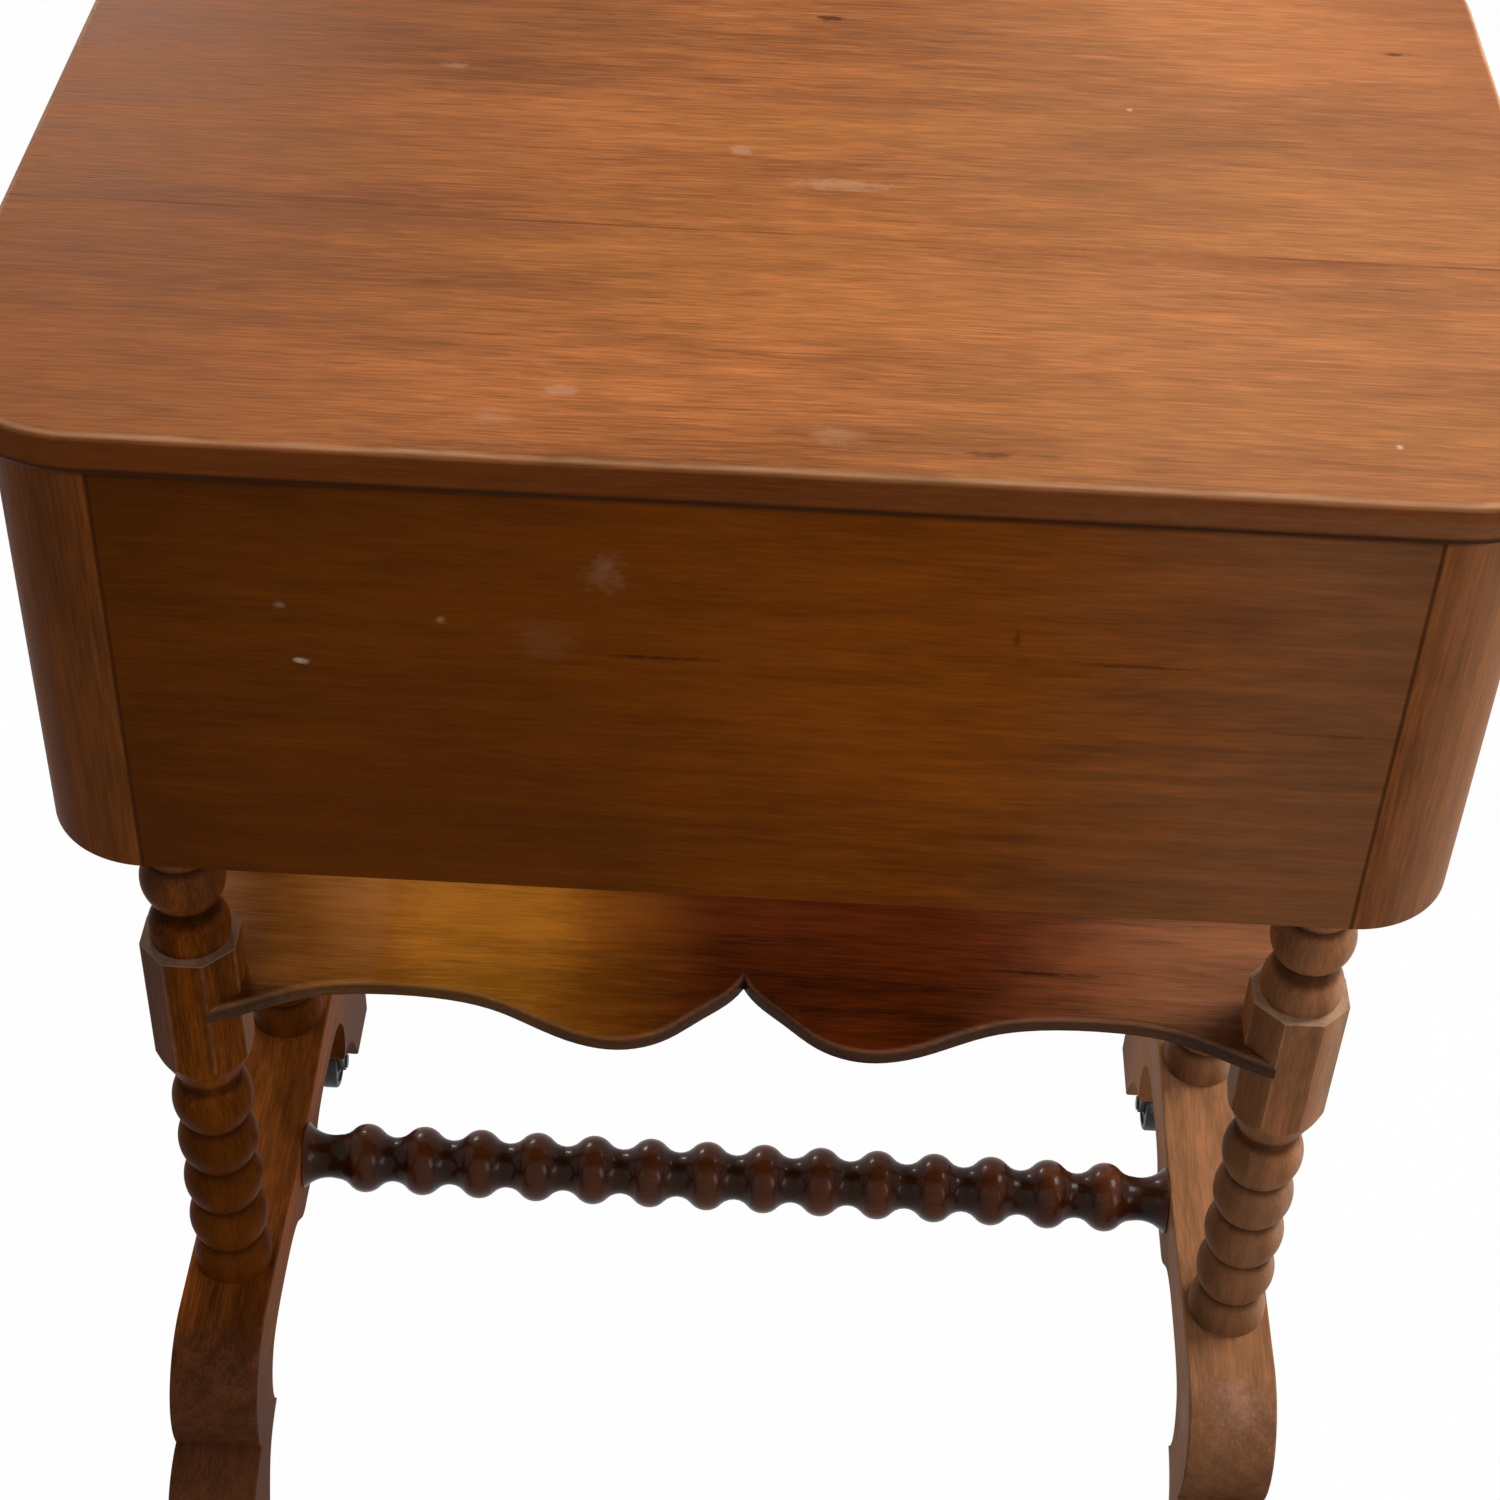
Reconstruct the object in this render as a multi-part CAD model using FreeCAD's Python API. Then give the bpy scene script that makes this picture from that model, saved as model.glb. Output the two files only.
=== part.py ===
"""Two-drawer sewing desk on a trestle base.

A round-cornered case with a two-board top stands on four turned legs.
Each pair of legs is tenoned into a scrolled foot, the feet are tied by a
turned stretcher, a wavy shelf hangs between the leg blocks, and the feet
roll on swivel casters.

Units are millimetres. +Z is up, +X is the desk's right hand seen from the
plain side, and -Y is that plain side; the drawers open towards +Y. The
origin is the middle of the base of the whole desk's box.
"""
import FreeCAD, Part
import math
import os

# Top
top_width = 563.5
top_depth = 411.0
top_thickness = 16.5
top_overhang_side = 15.5
top_overhang_end = 10.5
top_corner_radius = 56.5
top_arris_radius = 3.0
rear_board_width = 146.5

# Case
case_height = 186.0
corner_radius = 41.0
panel_thickness = 18.0
tongue_thickness = 6.0
tongue_length = 6.0
rail_thickness = 14.0
rail_depth = 45.0
rail_tenon_length = 8.0
rail_tenon_width = 18.0
rail_tenon_thickness = 8.0
upper_opening_height = 65.0
bottom_thickness = 9.0
ledge_width = 14.0
guide_height = 20.0

# Drawers
front_gap = 0.8
side_gap = 1.0
ledge_gap = 0.3
headroom = 4.0
drawer_front_thickness = 18.0
drawer_front_edge_radius = 1.5
drawer_lap_cover = 6.0
drawer_side_thickness = 9.0
drawer_back_thickness = 8.0
drawer_back_drop = 5.0
drawer_back_room = 17.0
drawer_bottom_thickness = 5.0
drawer_bottom_rise = 8.0
drawer_groove_depth = 4.0
drawer_tail_count = 3
drawer_tail_width_share = 0.6
drawer_tail_slope_share = 0.17
stop_length = 16.0
stop_width = 30.0
stop_height = 5.0
stop_spacing = 300.0
stop_gap = 0.3
knob_spacing = 260.0
knob_reach = 24.5
knob_radius = 14.0
knob_neck_radius = 6.5
knob_flange_radius = 10.0
knob_flange_thickness = 3.0
knob_stem_radius = 4.5
knob_crown = 5.0
knob_crown_flat = 3.0

# Leg cleats under the case
cleat_thickness = 16.0
cleat_width = 40.0
cleat_end_inset = 9.0
cleat_end_radius = 8.0

# Turned legs
leg_length = 358.0
leg_inset = 22.75
leg_place_share = 0.4291
leg_head_height = 1.0
leg_tenon_radius = 9.5
leg_foot_tenon_length = 22.0
bead_radius = 18.7
bead_groove_depth = 4.8
lowest_bead_rise = 4.2
lower_bead_count = 5
upper_bead_count = 4
upper_bead_radius = 18.5
block_across_flats = 42.0
block_height = 88.4
block_neck_height = 3.0
block_chamfer_height = 22.2
cup_height = 20.0
cup_radius = 18.2
cup_base_radius = 17.2
cup_neck_radius = 10.5

# Shelf
shelf_rise_on_block = 61.5
shelf_thickness = 10.0
shelf_edge_bevel = 2.2
shelf_tip_overrun = 12.8
shelf_tongue_reach = 4.0
shelf_lobe_overhang = 24.4
shelf_dowel_radius = 3.0
shelf_dowel_length = 40.0
shelf_dowel_in_leg = 15.0

# Scrolled feet
foot_width = 42.0
foot_length = 378.0
foot_height = 108.5
foot_edge_radius = 1.2
foot_dish_depth = 4.5

# Stretcher
stretcher_drop = 15.0
stretcher_bead_count = 14
stretcher_end_length = 17.0
stretcher_bead_radius = 17.6
stretcher_neck_radius = 11.3
stretcher_bead_curve_share = 0.52
stretcher_collar_radius = 16.8
stretcher_collar_length = 0.8
stretcher_tenon_radius = 8.0
stretcher_tenon_length = 20.0

# Casters
caster_height = 52.0
caster_place_share = 0.9
caster_trail = 8.0
wheel_radius = 16.0
wheel_width = 9.5
wheel_edge_radius = 1.6
wheel_side_gap = 0.4
wheel_hub_radius = 6.5
wheel_rim_width = 3.5
wheel_dish_depth = 1.2
axle_radius = 2.5
axle_head_radius = 4.0
axle_head_height = 1.0
running_clearance = 0.05
plate_radius = 17.0
plate_thickness = 3.0
socket_radius = 6.0
socket_depth = 24.0
socket_cap = 1.0
stem_radius = 4.0
stem_end_gap = 0.5
swivel_gap = 0.3
collar_radius = 7.0
bridge_bottom = 34.5
bridge_top = 43.0
bridge_half_depth = 7.5
cheek_thickness = 2.8
cheek_boss_radius = 5.5

# Screws and dowels
fit_gap = 0.05
top_screw_length = 26.0
top_screw_radius = 2.0
top_screw_end_distance = 54.0
rail_screw_spacing = 240.0
cleat_screw_length = 36.0
cleat_screw_radius = 2.2
cleat_screw_end_distance = 25.0
caster_screw_length = 14.0
caster_screw_radius = 1.4
caster_screw_circle = 12.5
caster_screw_count = 4
screw_head_share = 2.0
overrun = 1.0

# Foot outline from the middle to the toe: (share of half length, share of height)
sole_scroll_shares = (
    (0.075, 0.583), (0.120, 0.611), (0.170, 0.685), (0.222, 0.719), (0.370, 0.733),
    (0.500, 0.713), (0.570, 0.667), (0.614, 0.579), (0.632, 0.477), (0.602, 0.342),
)
toe_hollow_shares = (
    (0.602, 0.342), (0.660, 0.316), (0.712, 0.264), (0.760, 0.153), (0.802, 0.0),
)
toe_nose_shares = (
    (0.812, 0.479), (0.868, 0.458), (0.920, 0.407), (0.962, 0.319), (0.990, 0.180), (1.0, 0.0),
)
pad_inner_share = 0.345
pad_outer_share = 0.614
bulge_mid_share = (0.7620, 0.887)
# Shelf edge from the middle to the end: (share of half width, share of lobe reach)
shelf_edge_shares = (
    (0.0, 0.614), (0.034, 0.720), (0.076, 0.805), (0.146, 0.940), (0.222, 1.0), (0.340, 0.952),
    (0.470, 0.814), (0.604, 0.758), (0.714, 0.758), (0.815, 0.792), (0.920, 0.894), (1.0, 0.972),
)

# Derived places
case_width = top_width - 2 * top_overhang_side
case_depth = top_depth - 2 * top_overhang_end
half_case_x = case_width / 2
half_case_y = case_depth / 2
post_x = half_case_x - corner_radius
post_y = half_case_y - corner_radius
inner_x = half_case_x - panel_thickness
inner_y = half_case_y - panel_thickness
rail_back_y = half_case_y - rail_depth
drawer_length = half_case_y + inner_y - drawer_back_room
cleat_half = post_y - cleat_end_inset
leg_x = half_case_x - leg_inset
leg_y = leg_place_share * foot_length / 2
sole_z = caster_height
pad_z = sole_z + foot_height
leg_top_z = pad_z + leg_length
case_z = leg_top_z + cleat_thickness
top_z = case_z + case_height
ledge_x = post_x - ledge_width
upper_rail_z = top_z - rail_thickness
middle_rail_z = upper_rail_z - upper_opening_height - rail_thickness
stretcher_z = pad_z - foot_dish_depth - stretcher_drop
plain_length = lowest_bead_rise + block_neck_height + block_height + cup_height + leg_head_height
bead_pitch = (leg_length - plain_length) / (lower_bead_count + upper_bead_count - 1 / 2)
block_z = pad_z + lowest_bead_rise + (lower_bead_count - 1 / 2) * bead_pitch + block_neck_height
shelf_top_z = block_z + shelf_rise_on_block
shelf_middle_z = shelf_top_z - shelf_thickness / 2
shelf_lobe_reach = leg_y + shelf_lobe_overhang
foot_inner_x = leg_x - foot_width / 2
stretcher_bead_pitch = 2 * (foot_inner_x - stretcher_end_length) / stretcher_bead_count
caster_y = caster_place_share * foot_length / 2
plate_z = sole_z - plate_thickness
box_shift_y = (half_case_y + knob_reach - top_depth / 2) / 2

SIDES = (("left", -1), ("right", 1))
ENDS = (("rear", -1), ("front", 1))


def vec(x, y, z):
    """Return a vector."""
    return FreeCAD.Vector(x, y, z)


def block(x0, x1, y0, y1, z0, z1):
    """Return the box between two corners, given in any order on each axis."""
    low = vec(min(x0, x1), min(y0, y1), min(z0, z1))
    return Part.makeBox(abs(x1 - x0), abs(y1 - y0), abs(z1 - z0), low)


def rod(radius, start, direction, length):
    """Return a cylinder from a start point along a direction."""
    return Part.makeCylinder(radius, length, start, direction)


def turned(steps):
    """Return a solid turned about Z from steps of (radius, z) and (radius, z, mid radius, mid z)."""
    edges = []
    last = vec(0, 0, steps[0][1])
    for step in steps:
        point = vec(step[0], 0, step[1])
        if len(step) == 4:
            edges.append(Part.Arc(last, vec(step[2], 0, step[3]), point).toShape())
        else:
            edges.append(Part.LineSegment(last, point).toShape())
        last = point
    end = vec(0, 0, last.z)
    edges.append(Part.LineSegment(last, end).toShape())
    edges.append(Part.LineSegment(end, vec(0, 0, steps[0][1])).toShape())
    return Part.Face(Part.Wire(edges)).revolve(vec(0, 0, 0), vec(0, 0, 1), 360)


def curve(points):
    """Return one smooth edge through the points."""
    spline = Part.BSplineCurve()
    spline.interpolate(points)
    return spline.toShape()


def soften(shape, radius, wanted):
    """Return the shape with the wanted edges rounded."""
    return shape.makeFillet(radius, [edge for edge in shape.Edges if wanted(edge)])


def across(shape, side):
    """Return the shape as it is, or mirrored to the left side."""
    return shape if side > 0 else shape.mirror(vec(0, 0, 0), vec(1, 0, 0))


def endways(shape, end):
    """Return the shape as it is, or mirrored to the rear end."""
    return shape if end > 0 else shape.mirror(vec(0, 0, 0), vec(0, 1, 0))


def screw(x, y, z, length, radius):
    """Return a countersunk screw that points up from its head's face at z."""
    head = radius * screw_head_share
    return turned([(head, z), (radius, z + head - radius), (radius, z + length)]).translated(vec(x, y, 0))


def clearance_hole(x, y, z, length, radius):
    """Return the cutter for one such screw."""
    return screw(x, y, z, length + fit_gap, radius + fit_gap)


def cut_all(shape, cutters):
    """Return the shape with each cutter taken away."""
    for cutter in cutters:
        shape = shape.cut(cutter)
    return shape


def group(solids):
    """Return separate solids as one shape."""
    return Part.makeCompound(solids)


# Screw places


def top_screw_places():
    """Return (x, y, z) of the screws that hold the top."""
    places = []
    for side in (-1, 1):
        for y in (top_screw_end_distance - post_y, rail_back_y - top_screw_end_distance):
            places.append((side * post_x, y, upper_rail_z))
        places.append((side * rail_screw_spacing / 2, half_case_y - rail_depth / 2, upper_rail_z))
    return places


def cleat_screw_places():
    """Return (x, y, z) of the screws that hold the right cleat to the side panel."""
    x = half_case_x - panel_thickness / 2
    pitch = cleat_half - cleat_screw_end_distance
    return [(x, step * pitch, leg_top_z) for step in (-1, 0, 1)]


def caster_screw_places():
    """Return (x, y, z) of the screws of the front right caster plate."""
    places = []
    for number in range(caster_screw_count):
        angle = 2 * math.pi * (number + 1 / 2) / caster_screw_count
        x = leg_x + caster_screw_circle * math.cos(angle)
        places.append((x, caster_y + caster_screw_circle * math.sin(angle), plate_z))
    return places


top_screws = [screw(x, y, z, top_screw_length, top_screw_radius) for x, y, z in top_screw_places()]
top_screw_holes = [
    clearance_hole(x, y, z, top_screw_length, top_screw_radius) for x, y, z in top_screw_places()
]


# Top


def make_top():
    """Return the rear and front boards of the top."""
    slab = block(-top_width / 2, top_width / 2, -top_depth / 2, top_depth / 2, top_z, top_z + top_thickness)
    slab = soften(slab, top_corner_radius, lambda edge: abs(edge.BoundBox.ZLength - top_thickness) < fit_gap)
    slab = soften(slab, top_arris_radius, lambda edge: edge.BoundBox.ZLength < fit_gap)
    slab = cut_all(slab, top_screw_holes)
    seam_y = rear_board_width - top_depth / 2
    rear_half = block(-top_width, top_width, -top_depth, seam_y, 0, 2 * top_z)
    return slab.common(rear_half), slab.cut(rear_half)


# Case


def make_corner_post():
    """Return the front right quarter-round post before its grooves."""
    column = Part.makeCylinder(corner_radius, case_height, vec(post_x, post_y, case_z))
    return column.common(block(post_x, half_case_x, post_y, half_case_y, case_z, top_z))


def make_rear_panel():
    """Return the plain panel between the two rear posts, tongues included."""
    face = block(-post_x, post_x, -half_case_y, -inner_y, case_z, top_z)
    tongue_y = -half_case_y + (panel_thickness - tongue_thickness) / 2
    reach = post_x + tongue_length
    return face.fuse(block(-reach, reach, tongue_y, tongue_y + tongue_thickness, case_z, top_z))


def make_side_panel():
    """Return the right side panel between its posts, tongues included."""
    face = block(inner_x, half_case_x, -post_y, post_y, case_z, top_z)
    tongue_x = inner_x + (panel_thickness - tongue_thickness) / 2
    reach = post_y + tongue_length
    panel = face.fuse(block(tongue_x, tongue_x + tongue_thickness, -reach, reach, case_z, top_z))
    holes = [
        clearance_hole(x, y, z, cleat_screw_length, cleat_screw_radius) for x, y, z in cleat_screw_places()
    ]
    return cut_all(panel, holes)


def make_rail(z):
    """Return one rail between the front posts, with its tenons."""
    bar = block(-post_x, post_x, rail_back_y, half_case_y, z, z + rail_thickness)
    reach = post_x + rail_tenon_length
    tenon_y = post_y + (corner_radius - rail_tenon_width) / 2 - tongue_length / 2
    tenon_z = z + (rail_thickness - rail_tenon_thickness) / 2
    return bar.fuse(
        block(-reach, reach, tenon_y, tenon_y + rail_tenon_width, tenon_z, tenon_z + rail_tenon_thickness)
    )


def make_ledge(z):
    """Return the right ledge at a rail's height, cut round the rear post."""
    long_part = block(ledge_x, post_x, -inner_y, rail_back_y, z, z + rail_thickness)
    wide_part = block(post_x, inner_x, -post_y, rail_back_y, z, z + rail_thickness)
    return long_part.fuse(wide_part).removeSplitter()


def make_runner(z):
    """Return the right ledge with the guide that keeps a drawer straight."""
    guide_z = z + rail_thickness
    guide = block(post_x, inner_x, -post_y, rail_back_y, guide_z, guide_z + guide_height)
    return make_ledge(z).fuse(guide).removeSplitter()


def make_bottom():
    """Return the dust board between the lower runners."""
    return block(-ledge_x, ledge_x, -inner_y, rail_back_y, case_z, case_z + bottom_thickness)


def make_cleat():
    """Return the right cleat that takes the leg tenons."""
    bar = block(
        leg_x - cleat_width / 2, leg_x + cleat_width / 2, -cleat_half, cleat_half, leg_top_z, case_z
    )
    bar = soften(bar, cleat_end_radius, lambda edge: abs(edge.BoundBox.ZLength - cleat_thickness) < fit_gap)
    holes = [
        clearance_hole(x, y, z, cleat_screw_length, cleat_screw_radius) for x, y, z in cleat_screw_places()
    ]
    sockets = [
        rod(leg_tenon_radius + fit_gap, vec(leg_x, end * leg_y, leg_top_z), vec(0, 0, 1), cleat_thickness)
        for end in (-1, 1)
    ]
    return cut_all(bar, holes + sockets)


# Drawers


def make_knob_set(z):
    """Return the two knobs of a drawer at height z, and their stem holes."""
    head_y = knob_reach - knob_crown
    dome_width = knob_radius - knob_crown_flat
    dome_curve = (dome_width ** 2 + knob_crown ** 2) / (2 * knob_crown)
    dome_angle = math.asin(dome_width / dome_curve) / 2
    dome_r = knob_crown_flat + dome_curve * math.sin(dome_angle)
    dome_y = knob_reach - dome_curve * (1 - math.cos(dome_angle))
    knob = turned([
        (knob_stem_radius, -drawer_front_thickness),
        (knob_stem_radius, 0),
        (knob_flange_radius, 0),
        (knob_flange_radius, knob_flange_thickness),
        (knob_neck_radius, head_y / 2),
        (knob_radius, head_y, knob_radius - knob_crown / 2, head_y - knob_crown),
        (knob_crown_flat, knob_reach, dome_r, dome_y),
    ])
    knob.rotate(vec(0, 0, 0), vec(1, 0, 0), -90)
    places = [vec(side * knob_spacing / 2, half_case_y, z) for side in (-1, 1)]
    holes = [
        rod(knob_stem_radius + fit_gap, place - vec(0, drawer_front_thickness, 0), vec(0, 1, 0),
            drawer_front_thickness)
        for place in places
    ]
    return [knob.translated(place) for place in places], holes


def make_tails(x0, x1, root_y, tip_y, low_z, high_z):
    """Return the row of dovetails between two heights that widen from root_y to tip_y."""
    pitch = (high_z - low_z) / drawer_tail_count
    root = pitch * drawer_tail_width_share / 2
    tip = root + abs(tip_y - root_y) * drawer_tail_slope_share
    tails = []
    for number in range(drawer_tail_count):
        middle = low_z + (number + 1 / 2) * pitch
        corners = [
            vec(x0, root_y, middle - root), vec(x0, tip_y, middle - tip),
            vec(x0, tip_y, middle + tip), vec(x0, root_y, middle + root),
        ]
        tails.append(Part.Face(Part.makePolygon(corners + corners[:1])).extrude(vec(x1 - x0, 0, 0)))
    return tails


def make_stops(z):
    """Return the two blocks on a rail at height z that meet the drawer front."""
    stop_y = half_case_y - drawer_front_thickness - stop_gap
    return [
        block(side * stop_spacing / 2 - stop_width / 2, side * stop_spacing / 2 + stop_width / 2,
              stop_y - stop_length, stop_y, z, z + stop_height)
        for side in (-1, 1)
    ]


def make_drawer(z0, z1):
    """Return the pieces of the drawer that fills an opening from z0 to z1."""
    face_y = half_case_y
    back_y = face_y - drawer_length
    front_back_y = face_y - drawer_front_thickness
    side_out = post_x - side_gap
    side_in = side_out - drawer_side_thickness
    side_z = z0 + ledge_gap
    side_top = z1 - headroom
    bottom_z = side_z + drawer_bottom_rise
    bottom_top = bottom_z + drawer_bottom_thickness
    front_x = post_x - front_gap
    front = block(-front_x, front_x, front_back_y, face_y, z0 + front_gap, z1 - front_gap)
    front = soften(front, drawer_front_edge_radius, lambda edge: edge.BoundBox.YMin > face_y - fit_gap)
    lap_y = face_y - drawer_lap_cover
    side = block(side_in, side_out, back_y, front_back_y, side_z, side_top)
    front_low = z0 + front_gap
    side = side.multiFuse(make_tails(side_in, side_out, front_back_y, lap_y, front_low, side_top))
    sockets = make_tails(side_in, post_x, front_back_y, lap_y, front_low, side_top)
    groove_x = side_in + drawer_groove_depth
    groove_y = front_back_y + drawer_groove_depth
    bottom = block(-groove_x, groove_x, back_y, groove_y, bottom_z, bottom_top)
    back_top = side_top - drawer_back_drop
    back_root_y = back_y + drawer_back_thickness
    back = block(-side_out, side_out, back_y, back_root_y, bottom_top, back_top)
    back_tails = make_tails(side_in, side_out, back_root_y, back_y, bottom_top, back_top)
    back = cut_all(back, back_tails + [across(tail, -1) for tail in back_tails])
    knobs, stem_holes = make_knob_set((z0 + z1) / 2)
    front = cut_all(front, sockets + [across(socket, -1) for socket in sockets] + [bottom] + stem_holes)
    side = cut_all(side, [back, bottom]).removeSplitter()
    return {
        "front": front,
        "side_left": across(side, -1),
        "side_right": side,
        "back": back,
        "bottom": bottom,
        "knobs": group(knobs),
    }


# Legs


def bead_steps(z, count, radius, groove):
    """Return the turning steps of a stack of beads that starts at a groove at z."""
    return [
        (groove, z + (number + 1) * bead_pitch, radius, z + (number + 1 / 2) * bead_pitch)
        for number in range(count)
    ]


def make_leg():
    """Return the front right leg with its tenons and its eight-sided block."""
    groove = bead_radius - bead_groove_depth
    upper_groove = upper_bead_radius - bead_groove_depth
    corner = block_across_flats / 2 / math.cos(math.pi / 8)
    first_top = pad_z + lowest_bead_rise + bead_pitch / 2
    block_top = block_z + block_height
    neck_z = block_top + cup_height
    cup_z = block_top + (neck_z - block_top) / 3
    steps = [
        (leg_tenon_radius, pad_z - leg_foot_tenon_length),
        (leg_tenon_radius, pad_z),
        (bead_radius, pad_z),
        (bead_radius, pad_z + lowest_bead_rise),
        (groove, first_top, bead_radius - bead_groove_depth / 4, (pad_z + lowest_bead_rise + first_top) / 2),
    ]
    steps += bead_steps(first_top, lower_bead_count - 1, bead_radius, groove)
    steps += [
        (groove, block_z),
        (corner + overrun, block_z + block_chamfer_height),
        (corner + overrun, block_top),
        (cup_base_radius, block_top),
        (cup_neck_radius, neck_z, cup_radius, cup_z),
    ]
    steps += bead_steps(neck_z, upper_bead_count, upper_bead_radius, upper_groove)
    steps += [
        (upper_bead_radius, neck_z + upper_bead_count * bead_pitch),
        (upper_bead_radius, leg_top_z),
        (leg_tenon_radius, leg_top_z),
        (leg_tenon_radius, case_z),
    ]
    turning = turned(steps)
    angles = [math.pi * (number + 1 / 2) / 4 for number in range(8)]
    corners = [vec(corner * math.cos(angle), corner * math.sin(angle), 0) for angle in angles]
    prism = Part.Face(Part.makePolygon(corners + corners[:1])).extrude(vec(0, 0, case_z + overrun))
    leg = turning.common(prism).translated(vec(leg_x, leg_y, 0))
    return leg.cut(rod(shelf_dowel_radius + fit_gap, dowel_start(), vec(-1, 0, 0), shelf_dowel_length))


def dowel_start():
    """Return the end of the front right shelf dowel inside the leg."""
    return vec(leg_x - block_across_flats / 2 + shelf_dowel_in_leg, leg_y, shelf_middle_z)


# Shelf


def make_shelf(blocks):
    """Return the wavy shelf, notched round the leg blocks, with a tongue between each two."""
    block_face_x = leg_x - block_across_flats / 2
    half = block_face_x + shelf_tip_overrun
    low_z = shelf_top_z - shelf_thickness
    right = [vec(share_x * half, share_y * shelf_lobe_reach, low_z) for share_x, share_y in shelf_edge_shares]
    left = [vec(-point.x, point.y, point.z) for point in right]
    near = [curve(right), curve(left)]
    far = [curve([vec(point.x, -point.y, point.z) for point in points]) for points in (right, left)]
    ends = []
    for tip in (right[-1], left[-1]):
        ends.append(Part.LineSegment(tip, vec(tip.x, -tip.y, tip.z)).toShape())
    outline = Part.Wire(Part.__sortEdges__(near + far + ends))
    board = Part.Face(outline).extrude(vec(0, 0, shelf_thickness))
    rims = [edge for edge in board.Edges if edge.BoundBox.ZLength < fit_gap < edge.BoundBox.XLength]
    tongue = block(block_face_x, leg_x + shelf_tongue_reach, -leg_y, leg_y, low_z, shelf_top_z)
    board = board.makeChamfer(shelf_edge_bevel, rims).multiFuse([tongue, across(tongue, -1)])
    return cut_all(board, blocks).removeSplitter()


# Feet


def make_foot():
    """Return the right foot with its sockets."""
    half = foot_length / 2

    def at(shares, end):
        return vec(foot_inner_x, end * shares[0] * half, sole_z + shares[1] * foot_height)

    pad_inner = (pad_inner_share, 1.0)
    pad_outer = (pad_outer_share, 1.0)
    edges = []
    dish = vec(foot_inner_x, 0, pad_z - foot_dish_depth)
    edges.append(Part.Arc(at(pad_inner, -1), dish, at(pad_inner, 1)).toShape())
    edges.append(Part.LineSegment(at(sole_scroll_shares[0], -1), at(sole_scroll_shares[0], 1)).toShape())
    for end in (-1, 1):
        edges.append(Part.LineSegment(at(pad_inner, end), at(pad_outer, end)).toShape())
        notch = at(toe_nose_shares[0], end)
        edges.append(Part.Arc(at(pad_outer, end), at(bulge_mid_share, end), notch).toShape())
        edges.append(curve([at(shares, end) for shares in toe_nose_shares]))
        edges.append(Part.LineSegment(at(toe_nose_shares[-1], end), at(toe_hollow_shares[-1], end)).toShape())
        edges.append(curve([at(shares, end) for shares in toe_hollow_shares]))
        edges.append(curve([at(shares, end) for shares in sole_scroll_shares]))
    outline = Part.Wire(Part.__sortEdges__(edges))
    foot = Part.Face(outline).extrude(vec(foot_width, 0, 0))
    toe_y = pad_outer_share * half

    def is_worn(edge):
        bounds = edge.BoundBox
        on_top = bounds.ZMax > pad_z - fit_gap
        on_toe = abs(bounds.Center.y) > toe_y and bounds.ZLength > fit_gap
        return bounds.XLength < fit_gap and (on_top or on_toe)

    foot = soften(foot, foot_edge_radius, is_worn)
    cutters = [rod(stretcher_tenon_radius + fit_gap, vec(foot_inner_x, 0, stretcher_z), vec(1, 0, 0),
                   stretcher_tenon_length + fit_gap)]
    for end in (-1, 1):
        tenon_depth = leg_foot_tenon_length + fit_gap
        tenon_foot = vec(leg_x, end * leg_y, pad_z - tenon_depth)
        cutters.append(rod(leg_tenon_radius + fit_gap, tenon_foot, vec(0, 0, 1), tenon_depth + overrun))
        socket_foot = vec(leg_x, end * caster_y, sole_z)
        cutters.append(rod(socket_radius + fit_gap, socket_foot, vec(0, 0, 1), socket_depth + fit_gap))
        cutters += [
            endways(clearance_hole(x, y, z, caster_screw_length, caster_screw_radius), end)
            for x, y, z in caster_screw_places()
        ]
    return cut_all(foot, cutters)


# Stretcher


def make_stretcher():
    """Return the turned bar between the feet, with its tenons."""
    half_pitch = stretcher_bead_pitch / 2
    rise = stretcher_bead_radius - stretcher_neck_radius
    radii = (half_pitch ** 2 + rise ** 2) / (2 * rise)
    bead_curve = stretcher_bead_curve_share * radii
    neck_curve = radii - bead_curve
    tangent_x = half_pitch * stretcher_bead_curve_share
    tangent_r = stretcher_bead_radius - rise * stretcher_bead_curve_share
    half_angle = math.asin(half_pitch / radii) / 2
    flank_x = bead_curve * math.sin(half_angle)
    flank_r = stretcher_bead_radius - bead_curve * (1 - math.cos(half_angle))
    hollow_x = half_pitch - neck_curve * math.sin(half_angle)
    hollow_r = stretcher_neck_radius + neck_curve * (1 - math.cos(half_angle))
    first = -half_pitch * (stretcher_bead_count - 1)
    collar = foot_inner_x - stretcher_collar_length
    tip = foot_inner_x + stretcher_tenon_length
    flare = (stretcher_collar_radius + stretcher_neck_radius) / 2 - neck_curve / 4
    steps = [
        (stretcher_tenon_radius, -tip),
        (stretcher_tenon_radius, -foot_inner_x),
        (stretcher_collar_radius, -foot_inner_x),
        (stretcher_collar_radius, -collar),
        (stretcher_neck_radius, first - half_pitch, flare, (first - half_pitch - collar) / 2),
    ]
    for number in range(stretcher_bead_count):
        middle = first + number * stretcher_bead_pitch
        steps += [
            (tangent_r, middle - tangent_x, hollow_r, middle - hollow_x),
            (stretcher_bead_radius, middle, flank_r, middle - flank_x),
            (tangent_r, middle + tangent_x, flank_r, middle + flank_x),
            (stretcher_neck_radius, middle + half_pitch, hollow_r, middle + hollow_x),
        ]
    steps += [
        (stretcher_collar_radius, collar, flare, (collar - first + half_pitch) / 2),
        (stretcher_collar_radius, foot_inner_x),
        (stretcher_tenon_radius, foot_inner_x),
        (stretcher_tenon_radius, tip),
    ]
    bar = turned(steps)
    bar.rotate(vec(0, 0, 0), vec(0, 1, 0), 90)
    return bar.translated(vec(0, 0, stretcher_z))


# Casters


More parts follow.
